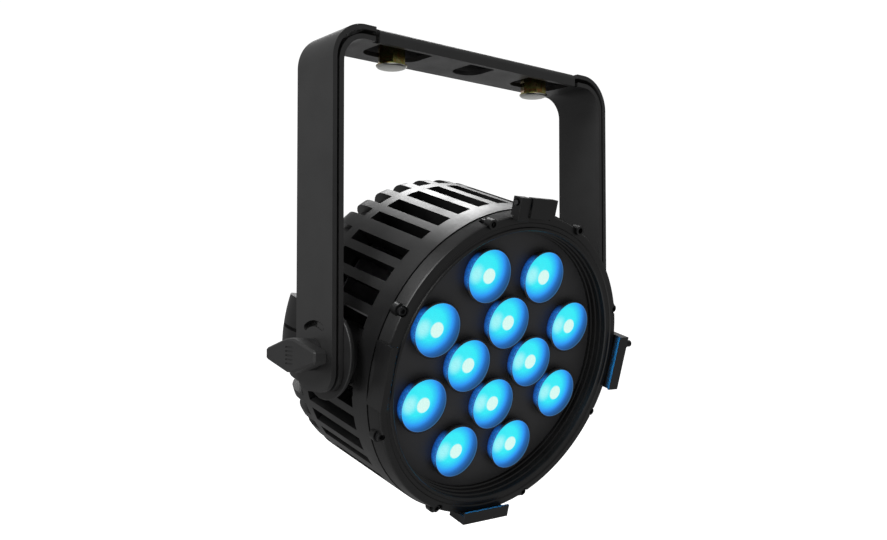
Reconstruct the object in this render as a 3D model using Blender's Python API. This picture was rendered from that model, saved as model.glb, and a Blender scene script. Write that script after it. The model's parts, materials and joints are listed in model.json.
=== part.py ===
"""A stage LED par can in a double yoke, at full size.

Units are metres and +Z is up. The origin is the middle of the yoke crossbar's top face, where a clamp
sits. X runs along the crossbar and the lamp faces -Y. The lamp head is modelled in its own frame, whose
Y = 0 is the front of the lenses, and an empty on the tilt axis carries it, tipped down a little.
"""

import math

import bmesh
import bpy
from mathutils import Matrix

# Driving dimensions
FIT = 0.0003  # clearance between neighbouring solids

LENS_RADIUS = 0.0191
LENS_GAP = 0.0026  # between neighbouring lenses
INNER_LENSES = 4
OUTER_LENSES = 8
FACE_MARGIN = 0.0089  # from the outer lenses to the bezel's bore

BEZEL_WALL = 0.011
BEZEL_FRONT = -0.0079
BODY_FLARE = 0.002  # the body over the bezel's front edge
PARTING_LINE = 0.0028
PLATE_FRONT = 0.006
PLATE_THICKNESS = 0.0025
LENS_DEPTH = 0.022
BOARD_FRONT = 0.024
BOARD_THICKNESS = 0.0016
SINK_BASE = 0.005
SINK_FINS = 24
FIN_THICKNESS = 0.002

VENT_FRONT = 0.0187
VENT_REAR = 0.0751
BODY_REAR = 0.110
BODY_WALL = 0.011
RIB_PITCHES = 40
RIB_ANGLE = math.radians(3.4)
WIDE_RIB_ANGLE = math.radians(5.8)
SIDE_POCKET_DEPTH = 0.007
COVER_THICKNESS = 0.005
PANEL_THICKNESS = 0.003

PIVOT_SETBACK = 0.0365  # the tilt axis behind the lens fronts
TILT = math.radians(15.9)
BOSS_RADIUS = 0.020
BOSS_HEIGHT = 0.0064
DISC_RADIUS = 0.0289
DISC_THICKNESS = 0.0035
STUD_RADIUS = 0.005

PIVOT_DROP = 0.206  # the tilt axis under the clamp face
SHEET = 0.0032
ARM_DEPTH = 0.042
ARM_TAIL = 0.023  # the arms below the tilt axis
ARM_CORNER = 0.014
BEND_RADIUS = 0.0244
ARM_GAP = 0.00174  # between the two brackets' arms
CROSSBAR_GAP = 0.003  # between the two brackets' crossbars
FLANGE_HEIGHT = 0.0097
FLANGE_LENGTH = 0.182
SLOT_RADIUS = 0.0192
SLOT_WIDTH = 0.0038
SLOT_SPREAD = math.radians(36)
TAB_ANGLE = math.radians(23)
BOLT_SPACING = 0.134
BOLT_RADIUS = 0.005
BOLT_FLATS = 0.017
BOLT_DISC_RADIUS = 0.0105
SIDE_NOTCH = 0.0435
CENTRE_NOTCH = 0.023
NOTCH_REACH = 0.009  # how far the notches run behind the middle of the crossbar
NOTCH_CORNER = 0.0105
NUT_HEIGHT = 0.0024
SPOT_FACE_DEPTH = 0.0002  # the nuts sit in shallow spot faces, so the rest of the top stays free
SPOT_FACE_MARGIN = 0.0007

KNOB_LENGTH = 0.058
KNOB_WIDTH = 0.0208
KNOB_TIP = 0.0070
KNOB_THICKNESS = 0.0095
HUB_RADIUS = 0.010
HUB_LENGTH = 0.0078

SCREW_HEAD_RADIUS = 0.003
SCREW_SHANK_RADIUS = 0.0015
EAR_RADIUS = 0.0042
EAR_LENGTH = 0.0045
CLIP_HALF_LENGTH = 0.0204
CLIP_SLOT = 0.0048  # an accessory frame slides in here, in front of the bezel
CLIP_LIP = 0.0016
CLIP_OVERHANG = 0.0032
LATCH_LEFT = -0.0235
LATCH_SPLIT = -0.014  # between the latch's fixed block and its flap
LATCH_RIGHT = 0.008
LATCH_BARREL = 0.0034
LATCH_PIN_RADIUS = 0.0016
LATCH_PLATE = 0.0032

BUTTONS = ("menu", "down", "up", "enter")
BUTTON_RADIUS = 0.0040
BUTTON_TRAVEL = 0.0008
BUTTON_PITCH = 0.015

# Sizes that follow
LENS_PITCH = 2 * LENS_RADIUS + LENS_GAP
INNER_RING = LENS_PITCH / (2 * math.sin(math.pi / INNER_LENSES))
HALF_STEP = math.pi / OUTER_LENSES
INNER_OFFSET = INNER_RING * math.sin(HALF_STEP)  # from an outer lens's radius to the nearest inner lens
OUTER_RING = INNER_RING * math.cos(HALF_STEP) + math.sqrt(LENS_PITCH**2 - INNER_OFFSET**2)
BORE_RADIUS = OUTER_RING + LENS_RADIUS + FACE_MARGIN
BEZEL_RADIUS = BORE_RADIUS + BEZEL_WALL
BODY_RADIUS = BEZEL_RADIUS + BODY_FLARE
LOBE_RADIUS = BODY_RADIUS + 0.0065
INSIDE_RADIUS = BODY_RADIUS - BODY_WALL
PLATE_RADIUS = INSIDE_RADIUS - 0.0005
POCKET_FACE = BODY_RADIUS + 0.0008 - SIDE_POCKET_DEPTH
BOSS_FACE = LOBE_RADIUS + 0.0007
INNER_ARM_FACE = BOSS_FACE + DISC_THICKNESS + 2 * FIT
INNER_HALF_WIDTH = INNER_ARM_FACE + SHEET
OUTER_HALF_WIDTH = INNER_HALF_WIDTH + ARM_GAP + SHEET
SCREW_RING = BEZEL_RADIUS - 0.0003
BOARD_RADIUS = INSIDE_RADIUS - 0.004
SINK_FRONT = BOARD_FRONT + BOARD_THICKNESS + FIT
COVER_RADIUS = INSIDE_RADIUS - 0.0096
SLOT_BACK = BEZEL_FRONT - CLIP_SLOT
CLIP_FRONT = SLOT_BACK - CLIP_LIP
LATCH_AXIS = (BEZEL_FRONT - 0.0014, BEZEL_RADIUS + 0.0072)
LATCH_TOP = LATCH_AXIS[1] + 0.0040
LATCH_REAR = LATCH_AXIS[0] + 0.0038
COVER_BACK = BODY_REAR - 0.001
PANEL_BACK = COVER_BACK + PANEL_THICKNESS + FIT
PIVOT_Z = -PIVOT_DROP
HALF_DEPTH = ARM_DEPTH / 2
SEGMENTS = 64  # round the head's turned pieces
SMALL_SEGMENTS = 16


# Helpers
def clear_scene():
    for old in list(bpy.data.objects):
        bpy.data.objects.remove(old)


def material(name, colour, roughness, metallic=0.0, glow=0.0):
    made = bpy.data.materials.new(name)
    made.use_nodes = True
    shader = made.node_tree.nodes["Principled BSDF"]
    shader.inputs["Base Color"].default_value = (*colour, 1)
    shader.inputs["Roughness"].default_value = roughness
    shader.inputs["Metallic"].default_value = metallic
    if glow:
        shader.inputs["Emission Color"].default_value = (*colour, 1)
        shader.inputs["Emission Strength"].default_value = glow
    return made


def empty(name, place, tilt=0.0, parent=None):
    made = bpy.data.objects.new(name, None)
    bpy.context.scene.collection.objects.link(made)
    made.location = place
    made.rotation_euler = (tilt, 0, 0)
    made.parent = parent
    return made


def solid(name, mesh_builder, look, parent=None, place=(0, 0, 0)):
    bmesh.ops.recalc_face_normals(mesh_builder, faces=mesh_builder.faces)
    mesh = bpy.data.meshes.new(name)
    mesh_builder.to_mesh(mesh)
    mesh_builder.free()
    mesh.shade_smooth()
    mesh.set_sharp_from_angle(angle=math.radians(35))
    if look:
        mesh.materials.append(look)
    made = bpy.data.objects.new(name, mesh)
    bpy.context.scene.collection.objects.link(made)
    made.location = place
    made.parent = parent
    return made


def combine(target, operation, name, mesh_builder):
    """Cuts, joins or intersects target with a helper solid in the same frame."""
    helper = solid(name, mesh_builder, None, target.parent, target.location)
    helper.hide_render = True
    helper.display_type = "WIRE"
    step = target.modifiers.new(name, "BOOLEAN")
    step.operation = operation
    step.object = helper


def cut(target, name, mesh_builder):
    combine(target, "DIFFERENCE", name, mesh_builder)


def join(target, name, mesh_builder):
    combine(target, "UNION", name, mesh_builder)


def box(low, high):
    built = bmesh.new()
    size = [b - a for a, b in zip(low, high)]
    middle = [(a + b) / 2 for a, b in zip(low, high)]
    bmesh.ops.create_cube(built, size=1, matrix=Matrix.Translation(middle) @ Matrix.Diagonal((*size, 1)))
    return built


def prism(outline, axis, low, high):
    """An outline in the plane square to axis, extruded from low to high. axis is X, Y or Z."""
    order = {
        "X": lambda u, v, w: (w, u, v),
        "Y": lambda u, v, w: (u, w, v),
        "Z": lambda u, v, w: (u, v, w),
    }[axis]
    built = bmesh.new()
    face = built.faces.new([built.verts.new(order(u, v, low)) for u, v in outline])
    moved = bmesh.ops.extrude_face_region(built, geom=[face])["geom"]
    shift = order(0, 0, high - low)
    bmesh.ops.translate(built, vec=shift, verts=[v for v in moved if isinstance(v, bmesh.types.BMVert)])
    return built


def circle(centre, radius, count):
    steps = [2 * math.pi * k / count for k in range(count)]
    return [(centre[0] + radius * math.cos(a), centre[1] + radius * math.sin(a)) for a in steps]


def rod(axis, centre, radius, low, high, count=14):
    return prism(circle(centre, radius, count), axis, low, high)


def arc(centre, radius, start, end, count):
    """Points on an arc, angles in degrees."""
    angles = [math.radians(start + (end - start) * k / count) for k in range(count + 1)]
    return [(centre[0] + radius * math.cos(a), centre[1] + radius * math.sin(a)) for a in angles]


def turned(profile, count, centre=(0, 0), ring=False):
    """A profile of (radius, y) turned about the Y axis through centre. A ring's profile is a closed loop."""
    built = bmesh.new()
    rows = []
    for radius, y in profile:
        if radius == 0:
            rows.append([built.verts.new((centre[0], y, centre[1]))] * count)
            continue
        angles = [2 * math.pi * k / count for k in range(count)]
        rows.append(
            [
                built.verts.new((centre[0] + radius * math.sin(a), y, centre[1] + radius * math.cos(a)))
                for a in angles
            ]
        )
    pairs = list(zip(rows, rows[1:])) + ([(rows[-1], rows[0])] if ring else [])
    for first, second in pairs:
        for k in range(count):
            after = (k + 1) % count
            corners = [first[k], first[after], second[after], second[k]]
            built.faces.new(list(dict.fromkeys(corners)))
    return built


def on_ring(radius, angle):
    """A place on a ring, with the angle from the head's top towards +X."""
    return (radius * math.sin(angle), radius * math.cos(angle))


# Materials
clear_scene()
powder_coat = material("powder_coat", (0.016, 0.016, 0.017), 0.45)
cast_black = material("cast_black", (0.014, 0.014, 0.015), 0.42)
black_plastic = material("black_plastic", (0.020, 0.020, 0.021), 0.50)
plate_grey = material("plate_grey", (0.022, 0.022, 0.024), 0.55)
lens_blue = material("lens_blue", (0.02, 0.42, 0.95), 0.15, glow=3.0)
aluminium = material("aluminium", (0.62, 0.63, 0.65), 0.35, 1.0)
zinc = material("zinc_plate", (0.62, 0.50, 0.22), 0.28, 1.0)
steel = material("steel", (0.35, 0.35, 0.36), 0.35, 1.0)
board_green = material("board_green", (0.02, 0.10, 0.05), 0.50)
window_dark = material("window_dark", (0.01, 0.02, 0.04), 0.08)
rubber = material("rubber", (0.02, 0.02, 0.02), 0.80)

# Yoke
def bent_strip(half_width, top, bottom, bend):
    """Outline in X and Z of a strip of sheet bent into an upside-down U."""
    inner = bend - SHEET
    corner_x = half_width - bend
    corner_z = top - bend
    outline = [(-half_width, bottom)] + arc((-corner_x, corner_z), bend, 180, 90, 8)
    outline += arc((corner_x, corner_z), bend, 90, 0, 8) + [(half_width, bottom)]
    outline += [(half_width - SHEET, bottom)] + arc((corner_x, corner_z), inner, 0, 90, 8)
    outline += arc((-corner_x, corner_z), inner, 90, 180, 8) + [(-half_width + SHEET, bottom)]
    return outline


def rounded_tail(bottom):
    """Outline in Y and Z that rounds the lower ends of the arms."""
    low = bottom + ARM_CORNER
    side = HALF_DEPTH - ARM_CORNER
    outline = [(HALF_DEPTH, 0.02), (-HALF_DEPTH, 0.02)]
    return outline + arc((-side, low), ARM_CORNER, 180, 270, 6) + arc((side, low), ARM_CORNER, 270, 360, 6)


def arc_band(radius, width, start, end, count):
    """Outline in Y and Z of a band about the tilt axis; angles are from straight up towards +Y."""
    angles = [start + (end - start) * k / count for k in range(count + 1)]
    far = radius + width / 2
    near = radius - width / 2
    outer = [(far * math.sin(a), PIVOT_Z + far * math.cos(a)) for a in angles]
    inner = [(near * math.sin(a), PIVOT_Z + near * math.cos(a)) for a in angles]
    return outer + inner[::-1]


def make_outer_bracket():
    bottom = PIVOT_Z - ARM_TAIL
    width = OUTER_HALF_WIDTH
    outline = bent_strip(width, 0, bottom, BEND_RADIUS)
    bracket = solid("outer_bracket", prism(outline, "Y", -HALF_DEPTH, HALF_DEPTH), powder_coat)
    reach = width + 0.01
    combine(bracket, "INTERSECT", "outer_tail", prism(rounded_tail(bottom), "X", -reach, reach))
    half_flange = FLANGE_LENGTH / 2
    bend = 1.5 * SHEET
    relief = half_flange + 0.003
    front = -HALF_DEPTH
    cut(bracket, "flange_relief", box((-relief, front - 0.001, -0.01), (relief, front + bend, 0.001)))
    lap = front + bend + 0.0002
    outline = [(lap, 0)] + arc((front + bend, -bend), bend, 90, 180, 5)
    outline += [(front, -FLANGE_HEIGHT), (front + SHEET, -FLANGE_HEIGHT)]
    outline += arc((front + bend, -bend), bend - SHEET, 180, 90, 3) + [(lap, -SHEET)]
    join(bracket, "flange", prism(outline, "X", -half_flange, half_flange))
    for side, sign in (("left", -1), ("right", 1)):
        span = sorted((sign * (width + 0.001), sign * (width - SHEET - 0.0008)))
        band = arc_band(SLOT_RADIUS, SLOT_WIDTH, -SLOT_SPREAD, SLOT_SPREAD, 12)
        cut(bracket, "stop_slot_" + side, prism(band, "X", *span))
        place = (sign * BOLT_SPACING / 2, 0)
        cut(bracket, "bolt_hole_" + side, rod("Z", place, BOLT_RADIUS + FIT, -SHEET - 0.001, 0.001))
        spot_radius = BOLT_FLATS / math.sqrt(3) + SPOT_FACE_MARGIN
        cut(bracket, "spot_face_" + side, rod("Z", place, spot_radius, -SPOT_FACE_DEPTH, 0.001, 24))
    cut(bracket, "outer_pivot_holes", rod("X", (0, PIVOT_Z), STUD_RADIUS + FIT, -reach, reach))
    return bracket


def notch(middle, width, bottom, top):
    """A slot with round inner corners, open at the crossbar's front edge."""
    corner = min(NOTCH_CORNER, 0.45 * width)
    side = width / 2 - corner
    outline = [(middle + width / 2, -HALF_DEPTH - 0.001)]
    outline += arc((middle + side, NOTCH_REACH - corner), corner, 0, 90, 4)
    outline += arc((middle - side, NOTCH_REACH - corner), corner, 90, 180, 4)
    outline += [(middle - width / 2, -HALF_DEPTH - 0.001)]
    return prism(outline, "Z", bottom, top)


def make_inner_bracket():
    bottom = PIVOT_Z - ARM_TAIL
    top = -SHEET - CROSSBAR_GAP
    width = INNER_HALF_WIDTH
    bend = BEND_RADIUS - SHEET - ARM_GAP
    outline = bent_strip(width, top, bottom, bend)
    bracket = solid("inner_bracket", prism(outline, "Y", -HALF_DEPTH, HALF_DEPTH), powder_coat)
    reach = width + 0.02
    combine(bracket, "INTERSECT", "inner_tail", prism(rounded_tail(bottom), "X", -reach, reach))
    low = top - SHEET - 0.001
    high = top + 0.001
    setback = -HALF_DEPTH + SHEET + 0.0006
    half = FLANGE_LENGTH / 2 + 0.0036
    cut(bracket, "flange_setback", box((-half, -HALF_DEPTH - 0.001, low - 0.02), (half, setback, high)))
    cut(bracket, "centre_notch", notch(0, CENTRE_NOTCH, low, high))
    for side, sign in (("left", -1), ("right", 1)):
        cut(bracket, "side_notch_" + side, notch(sign * BOLT_SPACING / 2, SIDE_NOTCH, low, high))
        start = -SLOT_SPREAD + math.radians(0.8)
        band = arc_band(SLOT_RADIUS, SLOT_WIDTH - 2 * FIT, start, start + TAB_ANGLE, 6)
        span = sorted((sign * (width - SHEET / 2), sign * (OUTER_HALF_WIDTH - 0.0002)))
        join(bracket, "stop_tab_" + side, prism(band, "X", *span))
    cut(bracket, "inner_pivot_holes", rod("X", (0, PIVOT_Z), STUD_RADIUS + FIT, -reach, reach))
    return bracket


def make_bolts():
    nut_low = FIT - SPOT_FACE_DEPTH
    nut_top = nut_low + NUT_HEIGHT
    head_top = -SHEET - FIT
    head_bottom = head_top - 0.0125
    disc_bottom = head_bottom - 0.0020
    for side, sign in (("left", -1), ("right", 1)):
        place = (sign * BOLT_SPACING / 2, 0)
        hexagon = circle(place, BOLT_FLATS / math.sqrt(3), 6)
        bolt = solid("bracket_bolt_" + side, prism(hexagon, "Z", head_bottom, head_top), zinc)
        disc = rod("Z", place, BOLT_DISC_RADIUS, disc_bottom, head_bottom + 0.0002, 20)
        join(bolt, "bolt_disc_" + side, disc)
        join(bolt, "bolt_shank_" + side, rod("Z", place, BOLT_RADIUS, head_top - 0.001, nut_top))
        nut = solid("bracket_nut_" + side, prism(hexagon, "Z", nut_low, nut_top), zinc)
        cut(nut, "nut_hole_" + side, rod("Z", place, BOLT_RADIUS + FIT, -0.001, nut_top + 0.001))


make_outer_bracket()
make_inner_bracket()
make_bolts()

# Head
head = empty("head_tilt", (0, 0, PIVOT_Z), TILT)
FACE_PLACE = (0, -PIVOT_SETBACK, 0)


def head_solid(name, mesh_builder, look):
    return solid(name, mesh_builder, look, head, FACE_PLACE)


def rib_edges():
    """Each rib's (start, end) angle round the body. The first rib is at the top, and four are wide."""
    pitch = 2 * math.pi / RIB_PITCHES
    wide = RIB_PITCHES // 8
    spans = []
    for k in range(RIB_PITCHES):
        half = (WIDE_RIB_ANGLE if k % (2 * wide) == wide else RIB_ANGLE) / 2
        spans.append((k * pitch - half, k * pitch + half))
    return spans


def body_stations():
    """(y, inner, pocket floor, outer and lobe radius) from the parting line to the rear."""
    body = BODY_RADIUS
    inside = INSIDE_RADIUS
    floor = body - 0.006
    rear = BODY_REAR
    return [
        (PARTING_LINE, inside, floor, body, body),
        (PLATE_FRONT + PLATE_THICKNESS + FIT, inside, floor, body + 0.0002, body + 0.0002),
        (PLATE_FRONT + 2 * PLATE_THICKNESS, inside - 0.003, floor, body + 0.0004, body + 0.0004),
        (VENT_FRONT, inside, floor, body + 0.0008, body + 0.0008),
        (VENT_REAR, inside, floor, body + 0.0012, body + 0.0012),
        (VENT_REAR + 0.008, inside, floor, body + 0.0016, body + 0.004),
        (rear - 0.0176, inside, floor, body + 0.0026, LOBE_RADIUS),
        (rear - 0.010, inside - 0.002, floor - 0.0015, body + 0.001, LOBE_RADIUS - 0.0015),
        (rear - 0.004, inside - 0.006, floor - 0.0055, body - 0.0035, body - 0.001),
        (rear, COVER_RADIUS + 0.0006, floor - 0.0095, body - 0.011, body - 0.010),
    ]


def make_housing():
    """A cast drum: a front band, ribs with open vents between them, a middle band and a ribbed shoulder."""
    spans = rib_edges()
    angles = [edge for span in spans for edge in span]
    stations = body_stations()
    columns = len(angles)
    quarter = RIB_PITCHES // 4
    side_columns = set()
    for middle in (quarter, 3 * quarter):
        side_columns |= {2 * k for k in range(middle - 1, middle + 2)}
        side_columns |= {2 * k + 1 for k in range(middle - 1, middle + 1)}
    vent_band = 3
    ring_band = 4

    def filled(column, band, layer):
        column %= columns
        if not (0 <= band < len(stations) - 1 and 0 <= layer < 2):
            return False
        if column % 2 == 0 or column in side_columns or band < vent_band or band == ring_band:
            return True
        return band > ring_band and layer == 0

    built = bmesh.new()
    corners = {}

    def corner(column, row, level):
        key = (column % columns, row, level)
        if key not in corners:
            y, *radii, lobe = stations[row]
            near_side = key[0] in side_columns or (key[0] - 1) % columns in side_columns
            radius = lobe if level == 2 and near_side else radii[level]
            x, z = on_ring(radius, angles[key[0]])
            corners[key] = built.verts.new((x, y, z))
        return corners[key]

    around = {
        (1, 0, 0): ((1, 0, 0), (1, 1, 0), (1, 1, 1), (1, 0, 1)),
        (-1, 0, 0): ((0, 0, 0), (0, 0, 1), (0, 1, 1), (0, 1, 0)),
        (0, 1, 0): ((0, 1, 0), (0, 1, 1), (1, 1, 1), (1, 1, 0)),
        (0, -1, 0): ((0, 0, 0), (1, 0, 0), (1, 0, 1), (0, 0, 1)),
        (0, 0, 1): ((0, 0, 1), (1, 0, 1), (1, 1, 1), (0, 1, 1)),
        (0, 0, -1): ((0, 0, 0), (0, 1, 0), (1, 1, 0), (1, 0, 0)),
    }
    for column in range(columns):
        for band in range(len(stations) - 1):
            for layer in range(2):
                if not filled(column, band, layer):
                    continue
                for (dc, db, dl), steps in around.items():
                    if not filled(column + dc, band + db, layer + dl):
                        built.faces.new([corner(column + c, band + b, layer + l) for c, b, l in steps])
    housing = head_solid("housing", built, cast_black)
    pivot = (PIVOT_SETBACK, 0)
    for side, sign in (("left", -1), ("right", 1)):
        far = LOBE_RADIUS + 0.01
        x = sorted((sign * POCKET_FACE, sign * far))
        half = BODY_RADIUS * math.sin(RIB_ANGLE / 2 + 2 * math.pi / RIB_PITCHES) + 0.0022
        cut(housing, "side_pocket_" + side, box((x[0], VENT_FRONT, -half), (x[1], VENT_REAR, half)))
        x = sorted((sign * (POCKET_FACE - 0.001), sign * BOSS_FACE))
        join(housing, "pivot_boss_" + side, rod("X", pivot, BOSS_RADIUS, *x, 24))
        x = sorted((sign * (INSIDE_RADIUS - 0.01), sign * far))
        cut(housing, "stud_hole_" + side, rod("X", pivot, STUD_RADIUS + FIT, *x))
    hole_end = PARTING_LINE + 0.008
    for k in range(OUTER_LENSES):
        place = on_ring(SCREW_RING, (2 * k + 1) * HALF_STEP)
        cut(housing, f"tapped_hole_{k + 1}", rod("Y", place, SCREW_SHANK_RADIUS + FIT, 0, hole_end, 8))


def make_bezel():
    back = PARTING_LINE - FIT
    skirt = PLATE_FRONT - FIT
    edge = 0.0014
    profile = [
        (BORE_RADIUS, BEZEL_FRONT - 0.0002),
        (BEZEL_RADIUS - edge, BEZEL_FRONT),
        (BEZEL_RADIUS, BEZEL_FRONT + edge),
        (BODY_RADIUS - 0.0004, back),
        (INSIDE_RADIUS - FIT, back),
        (INSIDE_RADIUS - FIT, skirt),
        (BORE_RADIUS - 0.0017, skirt),
        (BORE_RADIUS - 0.0017, BEZEL_FRONT + 0.005),
        (BORE_RADIUS, BEZEL_FRONT + 0.005),
    ]
    bezel = head_solid("bezel", turned(profile, SEGMENTS, ring=True), cast_black)
    seat = BEZEL_FRONT + 0.0039
    for k in range(OUTER_LENSES):
        place = on_ring(SCREW_RING, (2 * k + 1) * HALF_STEP)
        number = k + 1
        join(bezel, f"bezel_ear_{number}", rod("Y", place, EAR_RADIUS, seat, seat + EAR_LENGTH, 10))
        counterbore = rod("Y", place, SCREW_HEAD_RADIUS + FIT, BEZEL_FRONT - 0.002, seat, 12)
        cut(bezel, f"counterbore_{number}", counterbore)
        hole = rod("Y", place, SCREW_SHANK_RADIUS + FIT, BEZEL_FRONT - 0.002, back + 0.001, 8)
        cut(bezel, f"screw_hole_{number}", hole)
        head_back = seat - FIT
        head_front = head_back - 0.0024
        shank_end = PARTING_LINE + 0.007
        profile = [
            (0, head_front),
            (SCREW_HEAD_RADIUS - 0.0005, head_front),
            (SCREW_HEAD_RADIUS, head_front + 0.0006),
            (SCREW_HEAD_RADIUS, head_back),
            (SCREW_SHANK_RADIUS, head_back),
            (SCREW_SHANK_RADIUS, shank_end),
            (0, shank_end),
        ]
        screw = head_solid(f"bezel_screw_{number}", turned(profile, 10, place), steel)
        socket = rod("Y", place, 0.0014, head_front - 0.001, head_front + 0.0013, 6)
        cut(screw, f"screw_socket_{number}", socket)


def lens_places():
    inner = [on_ring(INNER_RING, 2 * math.pi * k / INNER_LENSES) for k in range(INNER_LENSES)]
    return inner + [on_ring(OUTER_RING, (2 * k + 1) * HALF_STEP) for k in range(OUTER_LENSES)]


def make_lenses():
    """Each lens is a clear disc on the plate, with a tapered collimator behind it that reaches its LED."""
    throat = LENS_RADIUS * 0.72
    plate_back = PLATE_FRONT + PLATE_THICKNESS
    plate_disc = rod("Y", (0, 0), PLATE_RADIUS, PLATE_FRONT, plate_back, 48)
    plate = head_solid("lens_plate", plate_disc, plate_grey)
    board_disc = rod("Y", (0, 0), BOARD_RADIUS, BOARD_FRONT, BOARD_FRONT + BOARD_THICKNESS, 32)
    board = head_solid("led_board", board_disc, board_green)
    back = PLATE_FRONT - FIT
    for number, (x, z) in enumerate(lens_places(), 1):
        hole_ends = (PLATE_FRONT - 0.001, plate_back + 0.001)
        cut(plate, f"lens_hole_{number}", rod("Y", (x, z), throat + FIT, *hole_ends, SMALL_SEGMENTS))
        profile = [
            (0, 0),
            (LENS_RADIUS - 0.0012, 0.0002),
            (LENS_RADIUS, 0.0014),
            (LENS_RADIUS, back),
            (throat, back),
            (throat, plate_back),
            (LENS_RADIUS * 0.25, LENS_DEPTH),
            (0, LENS_DEPTH),
        ]
        head_solid(f"lens_{number:02d}", turned(profile, SMALL_SEGMENTS, (x, z)), lens_blue)
        half = 0.0026
        chip = box((x - half, LENS_DEPTH + 0.0005, z - half), (x + half, BOARD_FRONT + 0.0005, z + half))
        join(board, f"led_{number:02d}", chip)


def make_heat_sink():
    fin_rear = VENT_REAR - 0.006
    fin_front = SINK_FRONT + SINK_BASE
    base = rod("Y", (0, 0), BOARD_RADIUS + 0.001, SINK_FRONT, fin_front, 32)
    sink = head_solid("heat_sink", base, aluminium)
    core = BOARD_RADIUS / 2
    tip = BOARD_RADIUS - 0.001
    outline = []
    for k in range(SINK_FINS):
        middle = 2 * math.pi * k / SINK_FINS
        for radius, side in ((core, -1), (tip, -1), (tip, 1), (core, 1)):
            outline.append(on_ring(radius, middle + side * FIN_THICKNESS / (2 * radius)))
    join(sink, "fins", prism(outline, "Y", fin_front - 0.0005, fin_rear))


def make_electronics():
    plate_front = VENT_REAR - 0.004
    plate_back = plate_front + 0.0016
    plate = rod("Y", (0, 0), INSIDE_RADIUS - 0.001, plate_front, plate_back, 32)
    head_solid("chassis_plate", plate, aluminium)
    front = plate_back + FIT
    back = BODY_REAR - COVER_THICKNESS - 0.006
    half = 0.6 * COVER_RADIUS
    head_solid("power_supply", box((-half, front, -0.058), (half, back, -0.006)), aluminium)
    board_front = front + 0.006
    board_back = board_front + 0.0016
    low, high = 0.004, 0.060
    board = head_solid("driver_board", box((-half, board_front, low), (half, board_back, high)), board_green)
    across = half - 0.005
    corners = [(x, z) for x in (-across, across) for z in (low + 0.005, high - 0.005)]
    for number, corner in enumerate(corners):
        join(board, f"standoff_{number}", rod("Y", corner, 0.003, front, board_front + 0.0004, 8))
    capacitor = rod("Y", (-0.02, 0.03), 0.008, board_back - 0.0004, board_back + 0.014, 12)
    join(board, "board_capacitor", capacitor)
    join(board, "board_chip", box((0.005, board_back - 0.0004, 0.02), (0.025, board_back + 0.004, 0.04)))


def rounded_rectangle(low, high, corner, count=4):
    middles = [(high[0] - corner, high[1] - corner), (low[0] + corner, high[1] - corner)]
    middles += [(low[0] + corner, low[1] + corner), (high[0] - corner, low[1] + corner)]
    outline = []
    for k, middle in enumerate(middles):
        outline += arc(middle, corner, 90 * k, 90 * k + 90, count)
    return outline


def make_rear():
    cover_front = COVER_BACK - COVER_THICKNESS
    rim = 0.003
    profile = [
        (0, cover_front),
        (COVER_RADIUS, cover_front),
        (COVER_RADIUS, COVER_BACK - rim / 2),
        (COVER_RADIUS - rim / 2, COVER_BACK),
        (0, COVER_BACK),
    ]
    cover = head_solid("rear_cover", turned(profile, SEGMENTS), cast_black)
    panel_front = COVER_BACK + FIT
    outline = rounded_rectangle((-0.043, 0.004), (0.043, 0.052), 0.005)
    panel = head_solid("control_panel", prism(outline, "Y", panel_front, PANEL_BACK), black_plastic)
    window = (-0.020, 0.027), (0.020, 0.046)
    recess = rounded_rectangle(*window, 0.002, 2)
    cut(panel, "window_recess", prism(recess, "Y", PANEL_BACK - 0.0015, PANEL_BACK + 0.001))
    inset = [(window[0][0] + FIT, window[0][1] + FIT), (window[1][0] - FIT, window[1][1] - FIT)]
    pane = rounded_rectangle(*inset, 0.0018, 2)
    window_pane = prism(pane, "Y", PANEL_BACK - 0.0015 + FIT, PANEL_BACK - 0.0002)
    head_solid("display_window", window_pane, window_dark)
    button_z = 0.0145
    stem_front = PANEL_BACK - 0.002
    for k, label in enumerate(BUTTONS):
        x = (k - (len(BUTTONS) - 1) / 2) * BUTTON_PITCH
        hole_ends = (stem_front - FIT - BUTTON_TRAVEL, PANEL_BACK + 0.001)
        hole = rod("Y", (x, button_z), BUTTON_RADIUS + FIT, *hole_ends, SMALL_SEGMENTS)
        cut(panel, "button_hole_" + label, hole)
        top = PANEL_BACK + 0.0014
        profile = [
            (0, stem_front),
            (BUTTON_RADIUS, stem_front),
            (BUTTON_RADIUS, top - 0.0005),
            (BUTTON_RADIUS - 0.0006, top),
            (0, top),
        ]
        head_solid("button_" + label, turned(profile, SMALL_SEGMENTS, (x, button_z)), rubber)
    connectors = (
        ("power_inlet", -0.046, -0.026, 0.0135),
        ("power_outlet", 0.046, -0.026, 0.0135),
        ("data_in", -0.016, -0.038, 0.0115),
        ("data_out", 0.016, -0.038, 0.0115),
    )
    for name, x, z, radius in connectors:
        seat = COVER_BACK + FIT
        rear = seat + 0.010
        profile = [
            (0, seat),
            (radius + 0.0025, seat),
            (radius + 0.0025, seat + 0.0030),
            (radius, seat + 0.0036),
            (radius, rear),
            (radius - 0.0025, rear),
            (radius - 0.0025, seat + 0.0030),
            (0, seat + 0.0030),
        ]
        head_solid(name, turned(profile, SMALL_SEGMENTS, (x, z)), black_plastic)
    eye_radius = 0.011
    wire = 0.0024
    foot = COVER_BACK + FIT
    ring_z = 0.066
    outline = [(eye_radius + wire, foot)] + arc((0, foot + 0.008), eye_radius + wire, 0, 180, 12)
    outline += [(-eye_radius - wire, foot), (-eye_radius + wire, foot)]
    outline += arc((0, foot + 0.008), eye_radius - wire, 180, 0, 12) + [(eye_radius - wire, foot)]
    head_solid("safety_eye", prism(outline, "Z", ring_z - wire, ring_z + wire), steel)


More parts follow.
